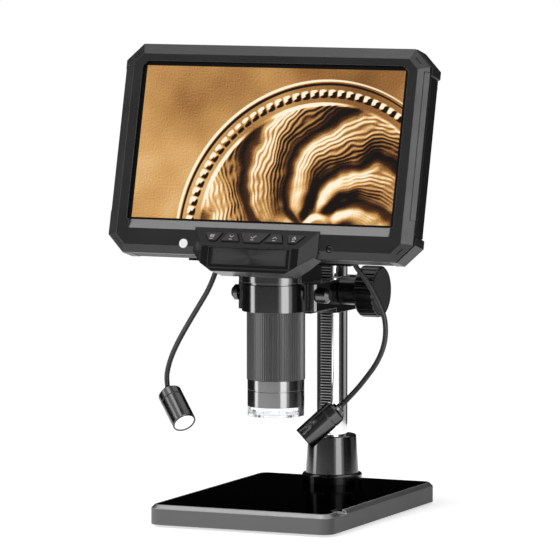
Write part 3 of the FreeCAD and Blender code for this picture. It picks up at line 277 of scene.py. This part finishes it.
# Carriage, clamp ring and their screws
# The carriage block runs on the pillar and carries a ring that clamps the neck of the head.
# Both are aluminium in black lacquer, and the block runs on a nylon liner and brass bushes.
block_lacquer = polished("carriage_lacquer", 0.12, 0.16, edge=0.0005, Metallic=1.0)
dress(block_lacquer, "carriage_arm")
dress(lathe("ring_lacquer", 0.14, 0.13), "clamp_ring")
nylon = new_finish("nylon", Specular_IOR_Level=0.4)
use_group(nylon, grain, GRAINED, Tone=(0.72, 0.72, 0.69, 1), Spread=0.1, Gloss=0.5)
dress(nylon, "slide_liner")
brass = polished("turned_brass", 0.6, 0.25, Metallic=1.0)
dress(brass, "shaft_bushings")
dress(polished("oxide_black", 0.14, 0.25, Metallic=1.0), "thumbscrew_right", "thumbscrew_left")


# Focus knobs
# Two fluted knobs moulded in black, one at each end of the focus shaft.
# A grey disc with a spun finish is let into each face.
# The knob edges are lightened strongly: partly wear, partly a painted highlight.
knob_black = new_finish("knob_black", Specular_IOR_Level=0.5)
use_group(knob_black, grain, GRAINED, Tone=(0.006, 0.006, 0.006, 1), Spread=0.3, Fineness=2600,
          Depth=0.00001, Gloss=0.22, Edge=0.0004, Rub=4.0)
dress(knob_black, "focus_knob_right", "focus_knob_left")
disc_grey = new_finish("spun_grey", Specular_IOR_Level=0.4)
use_group(disc_grey, grain, GRAINED, Tone=(0.05, 0.05, 0.05, 1), Spread=0.2, Fineness=3500,
          Depth=0.00002, Gloss=0.42, Edge=0.0003, Rub=1.0)
dress(disc_grey, "knob_caps")


# Neck and lens tube
# The neck and the bands are polished black anodised aluminium, turned on a lathe.
# The focus ring between them has fine ribs for the fingers, and the barrel runs inside.
dress(lathe("neck_anodised", 0.15, 0.16), "neck_block", "lens_barrel")
dress(lathe("ring_anodised", 0.1, 0.32, depth=0.0000005), "focus_ring")
dress(lathe("band_anodised", 0.2, 0.14), "lower_sleeve")
lens_glass = new_finish("lens_glass", Transmission_Weight=1.0, IOR=1.5, Roughness=0.02)
use_group(lens_glass, grain, ("Base Color",), Tone=(0.86, 0.9, 0.95, 1), Spread=0.05)
dress(lens_glass, "lenses")
clear = new_finish("clear_moulding", Transmission_Weight=1.0, IOR=1.46, Roughness=0.06)
use_group(clear, grain, ("Base Color", "Normal"), Tone=(0.95, 0.96, 0.97, 1), Spread=0.04,
          Fineness=700, Depth=0.00006, Edge=0.0003)
dress(clear, "clear_cover")
board = new_finish("circuit_board", Specular_IOR_Level=0.4)
use_group(board, grain, GRAINED, Tone=(0.03, 0.13, 0.06, 1), Spread=0.5, Fineness=600, Gloss=0.4)
dress(board, "camera_board", "main_board", "button_board")
ring_white = new_finish("lit_ring", Emission_Strength=0.7, Emission_Color=(1, 1, 1, 1))
use_group(ring_white, grain, GRAINED, Tone=(0.85, 0.85, 0.83, 1), Spread=0.1, Gloss=0.5)
dress(ring_white, "light_ring")


# Screen housing
# Two moulded halves in dark grey, screwed together round the panel, with rubber bumpers pressed
# round the corners. The slope of the narrow ledge under the picture is painted lighter where it faces up,
# as painted light from above.
# The case edges are lightened: partly wear, partly a painted highlight.
case_grey = new_finish("case_grey", Specular_IOR_Level=0.5)
use_group(case_grey, grain, GRAINED, Tone=(0.014, 0.014, 0.0145, 1), Spread=0.12, Fineness=3800,
          Depth=0.000012, Gloss=0.3, Edge=0.0005, Rub=3.0)
dress(case_grey, "front_bezel")
HEAD_LEAN = 14.5
HEAD_TILT = math.radians(90 - HEAD_LEAN)
HEAD_FOOT = (0, -0.047, 0.1655)
HEAD = Matrix.Translation(HEAD_FOOT) @ Matrix.Rotation(HEAD_TILT, 4, "X")
LEDGE_DROP = 0.0036
LEDGE_REACH = 0.0765
LEDGE_SLOPE = 0.2
tree = case_grey.node_tree
shader = tree.nodes["Principled BSDF"]
painted = shader.inputs["Base Color"].links[0].from_socket


def in_head(tree):
    place = put(tree, "ShaderNodeTexCoord")
    local = put(tree, "ShaderNodeMapping", vector_type="TEXTURE")
    local.inputs["Location"].default_value = HEAD_FOOT
    local.inputs["Rotation"].default_value = (HEAD_TILT, 0, 0)
    tree.links.new(place.outputs["Object"], local.inputs["Vector"])
    split = put(tree, "ShaderNodeSeparateXYZ")
    tree.links.new(local.outputs["Vector"], split.inputs["Vector"])
    return local.outputs["Vector"], split.outputs["X"], split.outputs["Y"]


across, up = in_head(tree)[1:]
ledge = calc(tree, "MULTIPLY", calc(tree, "COMPARE", up, -LEDGE_DROP, LEDGE_DROP),
             calc(tree, "LESS_THAN", calc(tree, "ABSOLUTE", across), LEDGE_REACH))
face = put(tree, "ShaderNodeNewGeometry")
tilt = put(tree, "ShaderNodeVectorMath", operation="DOT_PRODUCT")
tilt.inputs[1].default_value = HEAD.to_3x3() @ Vector((0, 1, 0))
tree.links.new(face.outputs["True Normal"], tilt.inputs[0])
# Painted light: the up-facing slope of the ledge is given a much lighter grey.
ledge_painted_light = calc(tree, "MULTIPLY", ledge, calc(tree, "GREATER_THAN", tilt.outputs["Value"], LEDGE_SLOPE))
two_tone(tree, ledge_painted_light, painted, (0.16, 0.16, 0.16, 1))
# The edges of the rear cover and box are lightened strongly: partly wear, partly a painted highlight.
case_black = new_finish("case_black", Specular_IOR_Level=0.2)
use_group(case_black, grain, GRAINED, Tone=(0.006, 0.006, 0.006, 1), Spread=0.2, Fineness=2400,
          Depth=0.00003, Gloss=0.42, Edge=0.0005, Rub=5.0)
dress(case_black, "rear_cover", "rear_box", "lcd_panel")
bumper_black = new_finish("bumper_rubber", Specular_IOR_Level=0.3)
use_group(bumper_black, grain, GRAINED, Tone=(0.02, 0.02, 0.02, 1), Spread=0.2,
          Fineness=2000, Depth=0.00002, Gloss=0.32, Edge=0.0005, Rub=3.0)
dress(bumper_black, "corner_bumpers")
cell_foil = polished("cell_foil", 0.5, 0.35, Metallic=1.0)
dress(cell_foil, "battery")
diffuser = new_finish("white_diffuser", Specular_IOR_Level=0.4)
use_group(diffuser, grain, GRAINED, Tone=(0.82, 0.82, 0.82, 1), Spread=0.15, Gloss=0.35, Rub=0.05)
dress(diffuser, "status_disc")
smoked = polished("smoked_lens", 0.008, 0.08)
dress(smoked, "status_lens")


# Lit picture
# The panel shows a close view of struck bronze: a fan of curved pleats with fine ridges, a
# beaded rim and a plain field beside it. The relief is shaded by its slope to the upper left.
FAN_CENTRE = (0.034, -0.004, 0)
SWIRL = 26
PLEATS = 7
RIDGES = 84
PEARLS = 90
relief, given, result = new_group("struck_relief", [("Place", "NodeSocketVector", (0, 0, 0))],
                                  [("Height", "NodeSocketFloat"), ("Tint", "NodeSocketFloat")])
centre = put(relief, "ShaderNodeVectorMath", operation="SUBTRACT")
centre.inputs[1].default_value = FAN_CENTRE
relief.links.new(given.outputs["Place"], centre.inputs[0])
split = put(relief, "ShaderNodeSeparateXYZ")
relief.links.new(centre.outputs["Vector"], split.inputs["Vector"])
wobble = put(relief, "ShaderNodeTexNoise")
wobble.inputs["Scale"].default_value = 42
wobble.inputs["Detail"].default_value = 2
relief.links.new(given.outputs["Place"], wobble.inputs["Vector"])
strike = put(relief, "ShaderNodeTexNoise")
strike.inputs["Scale"].default_value = 1100
relief.links.new(given.outputs["Place"], strike.inputs["Vector"])
across, up = split.outputs["X"], split.outputs["Y"]
radius = calc(relief, "SQRT", calc(relief, "ADD", calc(relief, "MULTIPLY", across, across),
                                   calc(relief, "MULTIPLY", up, up)))
turn = calc(relief, "ARCTAN2", up, across)
swirl = calc(relief, "MULTIPLY_ADD", radius, SWIRL, turn)
bent = calc(relief, "MULTIPLY_ADD", wobble.outputs["Fac"], 0.55, swirl)
fold = calc(relief, "MULTIPLY_ADD", calc(relief, "SINE", calc(relief, "MULTIPLY", bent, PLEATS)), 0.5, 0.5)
ridge = calc(relief, "SINE", calc(relief, "MULTIPLY", bent, RIDGES))


def between(inner, inner_full, outer_full, outer):
    return calc(relief, "MULTIPLY", ease(relief, radius, inner, inner_full),
                ease(relief, radius, outer, outer_full))


inside = between(0.008, 0.016, 0.069, 0.071)
finer = calc(relief, "MULTIPLY", ridge, calc(relief, "MULTIPLY", ease(relief, fold, 0.05, 0.5),
                                             ease(relief, radius, 0.02, 0.045)))
pleats = calc(relief, "MULTIPLY", calc(relief, "MULTIPLY_ADD", finer, 0.05, fold), inside)
hub = calc(relief, "MULTIPLY", ease(relief, radius, 0.0105, 0.006), 0.8)
pearl = calc(relief, "MULTIPLY_ADD", calc(relief, "SINE", calc(relief, "MULTIPLY", turn, PEARLS)), 0.4, 0.4)
rim = calc(relief, "MULTIPLY", pearl, between(0.0735, 0.075, 0.0765, 0.078))
edge_line = calc(relief, "MULTIPLY", between(0.0805, 0.0815, 0.0825, 0.0835), 0.35)
rough = calc(relief, "MULTIPLY_ADD", strike.outputs["Fac"], 0.05, edge_line)
relief.links.new(calc(relief, "ADD", calc(relief, "ADD", pleats, hub), calc(relief, "ADD", rim, rough)),
                 result.inputs["Height"])
crease = calc(relief, "MULTIPLY", calc(relief, "SUBTRACT", 1, ease(relief, fold, 0.0, 0.3)), inside)
relief.links.new(crease, result.inputs["Tint"])

picture = bpy.data.materials.new("lit_picture")
picture.use_nodes = True
tree = picture.node_tree
shader = tree.nodes["Principled BSDF"]
spot, across, up = in_head(tree)
LIGHT_STEP = 0.0004
levels = []
for shift in (LIGHT_STEP, -LIGHT_STEP):
    moved = put(tree, "ShaderNodeVectorMath", operation="ADD")
    moved.inputs[1].default_value = (-shift, shift, 0)
    tree.links.new(spot, moved.inputs[0])
    struck = put(tree, "ShaderNodeGroup", node_tree=relief)
    tree.links.new(moved.outputs["Vector"], struck.inputs["Place"])
    levels.append(struck)
facing_light = calc(tree, "SUBTRACT", levels[1].outputs["Height"], levels[0].outputs["Height"])
cloud = put(tree, "ShaderNodeTexNoise")
cloud.inputs["Scale"].default_value = 22
tree.links.new(spot, cloud.inputs["Vector"])
patchy = calc(tree, "MULTIPLY_ADD", cloud.outputs["Fac"], 0.6, 0.26)
lit = calc(tree, "MULTIPLY_ADD", facing_light, 3.2, patchy)
deep = calc(tree, "MULTIPLY", levels[0].outputs["Tint"], 0.42)
shade = calc(tree, "SUBTRACT", lit, deep)
glow = calc(tree, "ADD", shade, calc(tree, "MULTIPLY", calc(tree, "ADD", across, up), -0.9))
bronze = put(tree, "ShaderNodeValToRGB")
stops = [(0.0, (0.006, 0.002, 0.0005)), (0.22, (0.07, 0.024, 0.006)), (0.42, (0.31, 0.135, 0.035)),
         (0.62, (0.66, 0.36, 0.12)), (0.82, (0.93, 0.66, 0.34)), (1.0, (1.0, 0.9, 0.7))]
ramp = bronze.color_ramp
for position, colour in stops[1:-1]:
    ramp.elements.new(position)
for element, (position, colour) in zip(ramp.elements, stops):
    element.position = position
    element.color = (*colour, 1)
tree.links.new(glow, bronze.inputs["Fac"])
PICTURE_MIDDLE = 0.04295
PICTURE_HALF = (0.0766, 0.0423)
from_middle = calc(tree, "SUBTRACT", up, PICTURE_MIDDLE)
wide = calc(tree, "LESS_THAN", calc(tree, "ABSOLUTE", across), PICTURE_HALF[0])
tall = calc(tree, "LESS_THAN", calc(tree, "ABSOLUTE", from_middle), PICTURE_HALF[1])
shown = put(tree, "ShaderNodeVectorMath", operation="SCALE")
tree.links.new(bronze.outputs["Color"], shown.inputs[0])
tree.links.new(calc(tree, "MULTIPLY", wide, tall), shown.inputs["Scale"])
tree.links.new(shown.outputs["Vector"], shader.inputs["Emission Color"])
shader.inputs["Emission Strength"].default_value = 1.0
shader.inputs["Base Color"].default_value = (0.006, 0.006, 0.006, 1)
shader.inputs["Roughness"].default_value = 0.2
shader.inputs["Specular IOR Level"].default_value = 0.15
dress(picture, "screen_glass")


# Control box, its window and the keys
# A moulded box under the picture holds five black keys in its sloped face, each with a small
# white sign. A smoked window below them hides the remote eye, and its sheen spreads like a fan.
# The box edges are lightened strongly: partly wear, partly a painted highlight.
box_black = new_finish("box_black", Specular_IOR_Level=0.2)
use_group(box_black, grain, GRAINED, Tone=(0.008, 0.008, 0.008, 1), Spread=0.15, Fineness=3000,
          Depth=0.000015, Gloss=0.22, Edge=0.0004, Rub=5.0)
dress(box_black, "control_box")
window_black = polished("window_black", 0.06, 0.5, Metallic=1.0, Anisotropic=0.9)
tree = window_black.node_tree
place = put(tree, "ShaderNodeTexCoord")
spoke = put(tree, "ShaderNodeVectorMath", operation="SUBTRACT")
low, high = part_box("window_lens")
spoke.inputs[1].default_value = [(a + b) / 2 for a, b in zip(low, high)]
tree.links.new(place.outputs["Object"], spoke.inputs[0])
outward = put(tree, "ShaderNodeVectorTransform", vector_type="VECTOR", convert_from="OBJECT",
              convert_to="WORLD")
tree.links.new(spoke.outputs["Vector"], outward.inputs["Vector"])
tree.links.new(outward.outputs["Vector"], tree.nodes["Principled BSDF"].inputs["Tangent"])
dress(window_black, "window_lens")
key_black = new_finish("key_black", Specular_IOR_Level=0.3)
use_group(key_black, grain, GRAINED, Tone=(0.016, 0.016, 0.016, 1), Spread=0.15, Fineness=3000,
          Depth=0.00002, Gloss=0.35, Edge=0.0003, Rub=2.0)
KEY_NAMES = ("menu", "down", "ok", "up", "power")
dress(key_black, *["button_" + name for name in KEY_NAMES])
sign_white = new_finish("sign_white", Specular_IOR_Level=0.3)
use_group(sign_white, grain, GRAINED, Tone=(0.62, 0.62, 0.62, 1), Spread=0.2, Gloss=0.5)

KEY_FACE_DEPTH, KEY_FACE_HEIGHT = 7.3, 11
KEY_TURN = HEAD.to_3x3() @ Matrix.Rotation(math.atan2(-KEY_FACE_DEPTH, KEY_FACE_HEIGHT), 3, "X")
KEY_UP = KEY_TURN @ Vector((0, 0, 1))
SAME_LEVEL = 0.00005
SIGN_WIDTH = 0.00032
SIGN_THICK = 0.00012
UNDERLINE = ((-0.8, -1.9), (0.8, -1.9))
POWER_RING = 0.0009
bars = {
    "menu": [((-1.1, 0.9), (1.1, 0.9)), ((-1.1, 0.1), (1.1, 0.1)), ((-1.1, -0.7), (1.1, -0.7))],
    "down": [((-1.1, 0.7), (0, -0.3)), ((0, -0.3), (1.1, 0.7))],
    "ok": [((-1.2, 0.2), (-0.3, -0.7)), ((-0.3, -0.7), (1.5, 1.1))],
    "up": [((-1.1, -0.3), (0, 0.7)), ((0, 0.7), (1.1, -0.3))],
    "power": [((0, 0.3), (0, 1.5))],
}


def face_middle(name, direction):
    points = [vertex.co for vertex in nodes[name].data.vertices]
    level = max(point.dot(direction) for point in points)
    face = [point for point in points if point.dot(direction) > level - SAME_LEVEL]
    low = Vector([min(point[axis] for point in face) for axis in range(3)])
    high = Vector([max(point[axis] for point in face) for axis in range(3)])
    middle = (low + high) / 2
    return middle + direction * (level - middle.dot(direction))


def finish_mesh(name):
    piece = bpy.context.view_layer.objects.active
    piece.name = name
    bpy.ops.object.transform_apply(location=True, rotation=True, scale=True)
    return piece


for name in KEY_NAMES:
    made = []
    for start, end in bars[name] + [UNDERLINE]:
        start, end = Vector(start) / 1000, Vector(end) / 1000
        bpy.ops.mesh.primitive_cube_add(size=1)
        bar = bpy.context.active_object
        bar.scale = ((end - start).length + SIGN_WIDTH, SIGN_WIDTH, SIGN_THICK)
        bar.rotation_euler.z = math.atan2(end.y - start.y, end.x - start.x)
        bar.location = ((start.x + end.x) / 2, (start.y + end.y) / 2, 0)
        made.append(bar)
    if name == "power":
        bpy.ops.mesh.primitive_torus_add(major_radius=POWER_RING, minor_radius=SIGN_WIDTH / 2,
                                         major_segments=24, minor_segments=6)
        made.append(bpy.context.active_object)
    bpy.ops.object.select_all(action="DESELECT")
    for bar in made:
        bar.select_set(True)
    bpy.context.view_layer.objects.active = made[0]
    bpy.ops.object.join()
    sign = finish_mesh("sign_" + name)
    centre_of_key = face_middle("button_" + name, KEY_UP)
    sign.data.transform(Matrix.Translation(centre_of_key) @ KEY_TURN.to_4x4())
    sign.data.materials.append(sign_white)
    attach(sign, "key_" + name)
    bpy.ops.object.select_all(action="DESELECT")


# Goosenecks
# Each lamp hangs on a bending arm: a steel wire wound in a close coil, coated dark grey.
# It leaves a socket under the box behind the screen and ends in a ball at the lamp's back.
WIRE = 0.0015
COIL_PITCH = 0.0009
COIL_DEPTH = 0.00016
RINGS_PER_TURN = 6
SIDES = 16
BALL_RADIUS = 0.0022
BALL_BEHIND = 0.0141
coil_grey = new_finish("coated_coil", Metallic=0.8, Specular_IOR_Level=0.4)
use_group(coil_grey, grain, GRAINED, Tone=(0.06, 0.06, 0.06, 1), Spread=0.25, Fineness=2500,
          Depth=0.00001, Gloss=0.24, Edge=0.0002, Rub=0.4)
routes = {
    "left": {
        "points": [(-40.5, -10, 148), (-40.5, -10, 142.3), (-40.5, -10, 140.3), (-47.1, -8.6, 125.2),
                   (-54.9, -5.3, 115), (-64.2, -0.3, 103.6), (-72, 4.1, 93.6), (-78.3, 7.7, 84),
                   (-81.7, 9.8, 75.9), (-82.6, 10.5, 70.6)],
        "lamp": (-73.3, 4.0, 55.7), "aim": (0.612, -0.479, -0.629)},
    "right": {
        "points": [(40.5, -10, 148), (40.5, -10, 142.3), (40.5, -10, 140.3), (47.2, -9.5, 132.6),
                   (52.6, -8.1, 122.9), (56.3, -6.2, 113.1), (56.4, -4.4, 104.6), (54.5, -2.6, 96),
                   (49.5, -0.6, 86.5), (42.1, 1, 77.5), (34.8, 2, 69.3)],
        "lamp": (17.0, -3.0, 51.5), "aim": (-0.646, -0.371, -0.667)},
}


def smooth_line(points):
    curve = bpy.data.curves.new("route", "CURVE")
    curve.dimensions = "3D"
    spline = curve.splines.new("NURBS")
    spline.points.add(len(points) - 1)
    for point, place in zip(spline.points, points):
        point.co = (*place, 1)
    spline.order_u = 3
    spline.use_endpoint_u = True
    spline.resolution_u = 24
    holder = bpy.data.objects.new("route", curve)
    bpy.context.scene.collection.objects.link(holder)
    bpy.context.view_layer.update()
    mesh = bpy.data.meshes.new_from_object(holder)
    line = [vertex.co.copy() for vertex in mesh.vertices]
    bpy.data.objects.remove(holder)
    bpy.data.meshes.remove(mesh)
    return line


def even_steps(line, step):
    out = [line[0]]
    left = step
    for start, end in zip(line, line[1:]):
        length = (end - start).length
        done = 0.0
        while length - done >= left:
            done += left
            out.append(start.lerp(end, done / length))
            left = step
        left -= length - done
    return out


def wound_arm(name, line):
    centres = even_steps(line, COIL_PITCH / RINGS_PER_TURN)
    mesh = bmesh.new()
    side = Vector((0, 1, 0))
    rings = []
    for number, centre_point in enumerate(centres):
        ahead = centres[min(number + 1, len(centres) - 1)]
        behind = centres[max(number - 1, 0)]
        along = (ahead - behind).normalized()
        side = (side - along * side.dot(along)).normalized()
        over = along.cross(side)
        ring = []
        for corner in range(SIDES):
            angle = 2 * math.pi * corner / SIDES
            phase = 2 * math.pi * number / RINGS_PER_TURN - angle
            reach = WIRE - COIL_DEPTH * (0.5 - 0.5 * math.cos(phase))
            ring.append(mesh.verts.new(
                centre_point + reach * (math.cos(angle) * side + math.sin(angle) * over)))
        rings.append(ring)
    for first, second in zip(rings, rings[1:]):
        for corner in range(SIDES):
            following = (corner + 1) % SIDES
            mesh.faces.new((first[corner], first[following], second[following], second[corner]))
    mesh.faces.new(rings[0][::-1])
    mesh.faces.new(rings[-1])
    bmesh.ops.recalc_face_normals(mesh, faces=mesh.faces)
    data = bpy.data.meshes.new(name)
    mesh.to_mesh(data)
    mesh.free()
    data.polygons.foreach_set("use_smooth", [True] * len(data.polygons))
    arm = bpy.data.objects.new(name, data)
    bpy.context.scene.collection.objects.link(arm)
    return arm


for side_name, route in routes.items():
    aim = Vector(route["aim"]).normalized()
    ball = Vector(route["lamp"]) / 1000 - aim * BALL_BEHIND
    points = [Vector(point) / 1000 for point in route["points"]] + [ball]
    arm = wound_arm(side_name + "_gooseneck", smooth_line(points))
    arm.data.materials.append(coil_grey)
    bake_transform(arm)
    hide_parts(side_name + "_neck_upper", side_name + "_neck_lower")
    bpy.ops.object.select_all(action="DESELECT")
    bpy.ops.mesh.primitive_uv_sphere_add(segments=32, ring_count=16, radius=BALL_RADIUS, location=ball)
    knuckle = finish_mesh(side_name + "_ball")
    bpy.ops.object.shade_smooth()
    knuckle.data.materials.append(coil_grey)
    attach(knuckle, side_name + "_lower")
    bpy.ops.object.select_all(action="DESELECT")


# Lamps
# A turned barrel in black chrome with a narrow groove, a frosted front and a white light.
# Both are lit, so their fronts show as even white discs.
dress(polished("black_chrome", 0.1, 0.18, Metallic=1.0), "left_lamp_housing", "right_lamp_housing")
frosted = new_finish("frosted_front", Emission_Color=(1, 1, 1, 1), Emission_Strength=1.0)
use_group(frosted, grain, GRAINED, Tone=(0.9, 0.9, 0.9, 1), Spread=0.05, Gloss=0.4, Rub=0.0)
dress(frosted, "left_lamp_lens", "right_lamp_lens", "left_lamp_light", "right_lamp_light")


# Studio
# A pale floor and soft lamps, some of them for reflections or for diffuse light alone, and dark
# cards round the object that only reflections see. The camera stands where the photograph's did.
FRONT_REACH = 0.86
REAR_REACH = 0.42
FRONT_FROM, FRONT_TO = -52, 34
FLOOR_LIFT = 0.7


def behind_white(finish):
    tree = finish.node_tree
    path = put(tree, "ShaderNodeLightPath")
    seen = calc(tree, "MAXIMUM", path.outputs["Is Camera Ray"], path.outputs["Is Glossy Ray"])
    return calc(tree, "MAXIMUM", seen, path.outputs["Is Transmission Ray"])


def from_front(degrees, distance, height):
    angle = math.radians(degrees)
    return Vector((math.sin(angle) * distance, -math.cos(angle) * distance, height))


mesh = bmesh.new()
corners = []
for degrees in range(-180, 180, 3):
    reach = FRONT_REACH if FRONT_FROM < degrees < FRONT_TO else REAR_REACH
    corners.append(mesh.verts.new(from_front(degrees, reach, 0)))
mesh.faces.new(corners)
bmesh.ops.recalc_face_normals(mesh, faces=mesh.faces)
floor_mesh = bpy.data.meshes.new("floor")
mesh.to_mesh(floor_mesh)
mesh.free()
floor = bpy.data.objects.new("floor", floor_mesh)
bpy.context.scene.collection.objects.link(floor)
floor_white = bpy.data.materials.new("floor_white")
floor_white.use_nodes = True
tree = floor_white.node_tree
shader = tree.nodes["Principled BSDF"]
shader.inputs["Base Color"].default_value = (0.8, 0.8, 0.8, 1)
shader.inputs["Roughness"].default_value = 1
shader.inputs["Specular IOR Level"].default_value = 0
shader.inputs["Emission Color"].default_value = (1, 1, 1, 1)
lift = calc(tree, "MULTIPLY", behind_white(floor_white), FLOOR_LIFT)
tree.links.new(lift, shader.inputs["Emission Strength"])
floor.data.materials.append(floor_white)

world = bpy.data.worlds.new("studio")
world.use_nodes = True
bpy.context.scene.world = world
tree = world.node_tree
background = tree.nodes["Background"]
AMBIENT = 0.26
level = put(tree, "ShaderNodeMapRange")
level.inputs["To Min"].default_value = AMBIENT
level.inputs["To Max"].default_value = 1.0
tree.links.new(behind_white(world), level.inputs["Value"])
tree.links.new(level.outputs["Result"], background.inputs["Strength"])
background.inputs["Color"].default_value = (1, 1, 1, 1)


MIDDLE = Vector((0, 0, 0.13))


def softbox(name, degrees, height, distance, width, tall, radiance, lights=True, shines=True):
    light = bpy.data.lights.new(name, "AREA")
    light.shape = "RECTANGLE"
    light.size = width
    light.size_y = tall
    light.energy = radiance * math.pi * width * tall
    holder = bpy.data.objects.new(name, light)
    bpy.context.scene.collection.objects.link(holder)
    holder.location = from_front(degrees, distance, height)
    holder.rotation_euler = (MIDDLE - holder.location).to_track_quat("-Z", "Y").to_euler()
    holder.visible_diffuse = lights
    holder.visible_glossy = shines


softbox("left_box", -61, 0.2, 2.0, 0.55, 2.2, 3.0)
softbox("right_box", 54, 0.2, 2.0, 0.9, 2.2, 3.0, lights=False)
softbox("top_box", -20, 2.2, 1.0, 1.4, 1.0, 2.6)
softbox("bevel_box", 34, 0.8, 1.5, 0.4, 0.5, 5.0, lights=False)
softbox("front_box", -22, 1.2, 1.9, 1.6, 1.2, 4.0, shines=False)


CARD_REACH = 1.7
CARD_FOOT = -0.6
CARD_TOP = 1.6
CARD_STEPS = 12


def dark_card(name, start, stop, tone):
    mesh = bmesh.new()
    low, high = [], []
    for number in range(CARD_STEPS + 1):
        angle = start + (stop - start) * number / CARD_STEPS
        low.append(mesh.verts.new(from_front(angle, CARD_REACH, CARD_FOOT)))
        high.append(mesh.verts.new(from_front(angle, CARD_REACH, CARD_TOP)))
    for number in range(CARD_STEPS):
        mesh.faces.new((low[number], low[number + 1], high[number + 1], high[number]))
    data = bpy.data.meshes.new(name)
    mesh.to_mesh(data)
    mesh.free()
    card = bpy.data.objects.new(name, data)
    bpy.context.scene.collection.objects.link(card)
    cloth = bpy.data.materials.new(name)
    cloth.use_nodes = True
    shader = cloth.node_tree.nodes["Principled BSDF"]
    shader.inputs["Base Color"].default_value = (0, 0, 0, 1)
    shader.inputs["Specular IOR Level"].default_value = 0
    shader.inputs["Emission Color"].default_value = (1, 1, 1, 1)
    shader.inputs["Emission Strength"].default_value = tone
    data.materials.append(cloth)
    card.visible_camera = False
    card.visible_diffuse = False
    card.visible_shadow = False
    card.visible_transmission = False


dark_card("front_card", -52, 33, 0.14)
dark_card("right_card", 78, 97, 0.08)
dark_card("side_card", 97, 122, 0.02)
dark_card("rim_card", 122, 150, 0.3)
dark_card("back_card", 150, 288, 0.03)

camera_data = bpy.data.cameras.new("camera")
camera_data.lens = 321.4
camera_data.sensor_width = 36
camera_data.clip_end = 50
camera = bpy.data.objects.new("camera", camera_data)
bpy.context.scene.collection.objects.link(camera)
camera.location = (1.0971, -2.5070, 0.3831)
camera.rotation_euler = (math.radians(84.722), 0, math.radians(23.80))
bpy.context.scene.camera = camera
bpy.context.scene.view_settings.view_transform = "Standard"

bpy.context.view_layer.update()
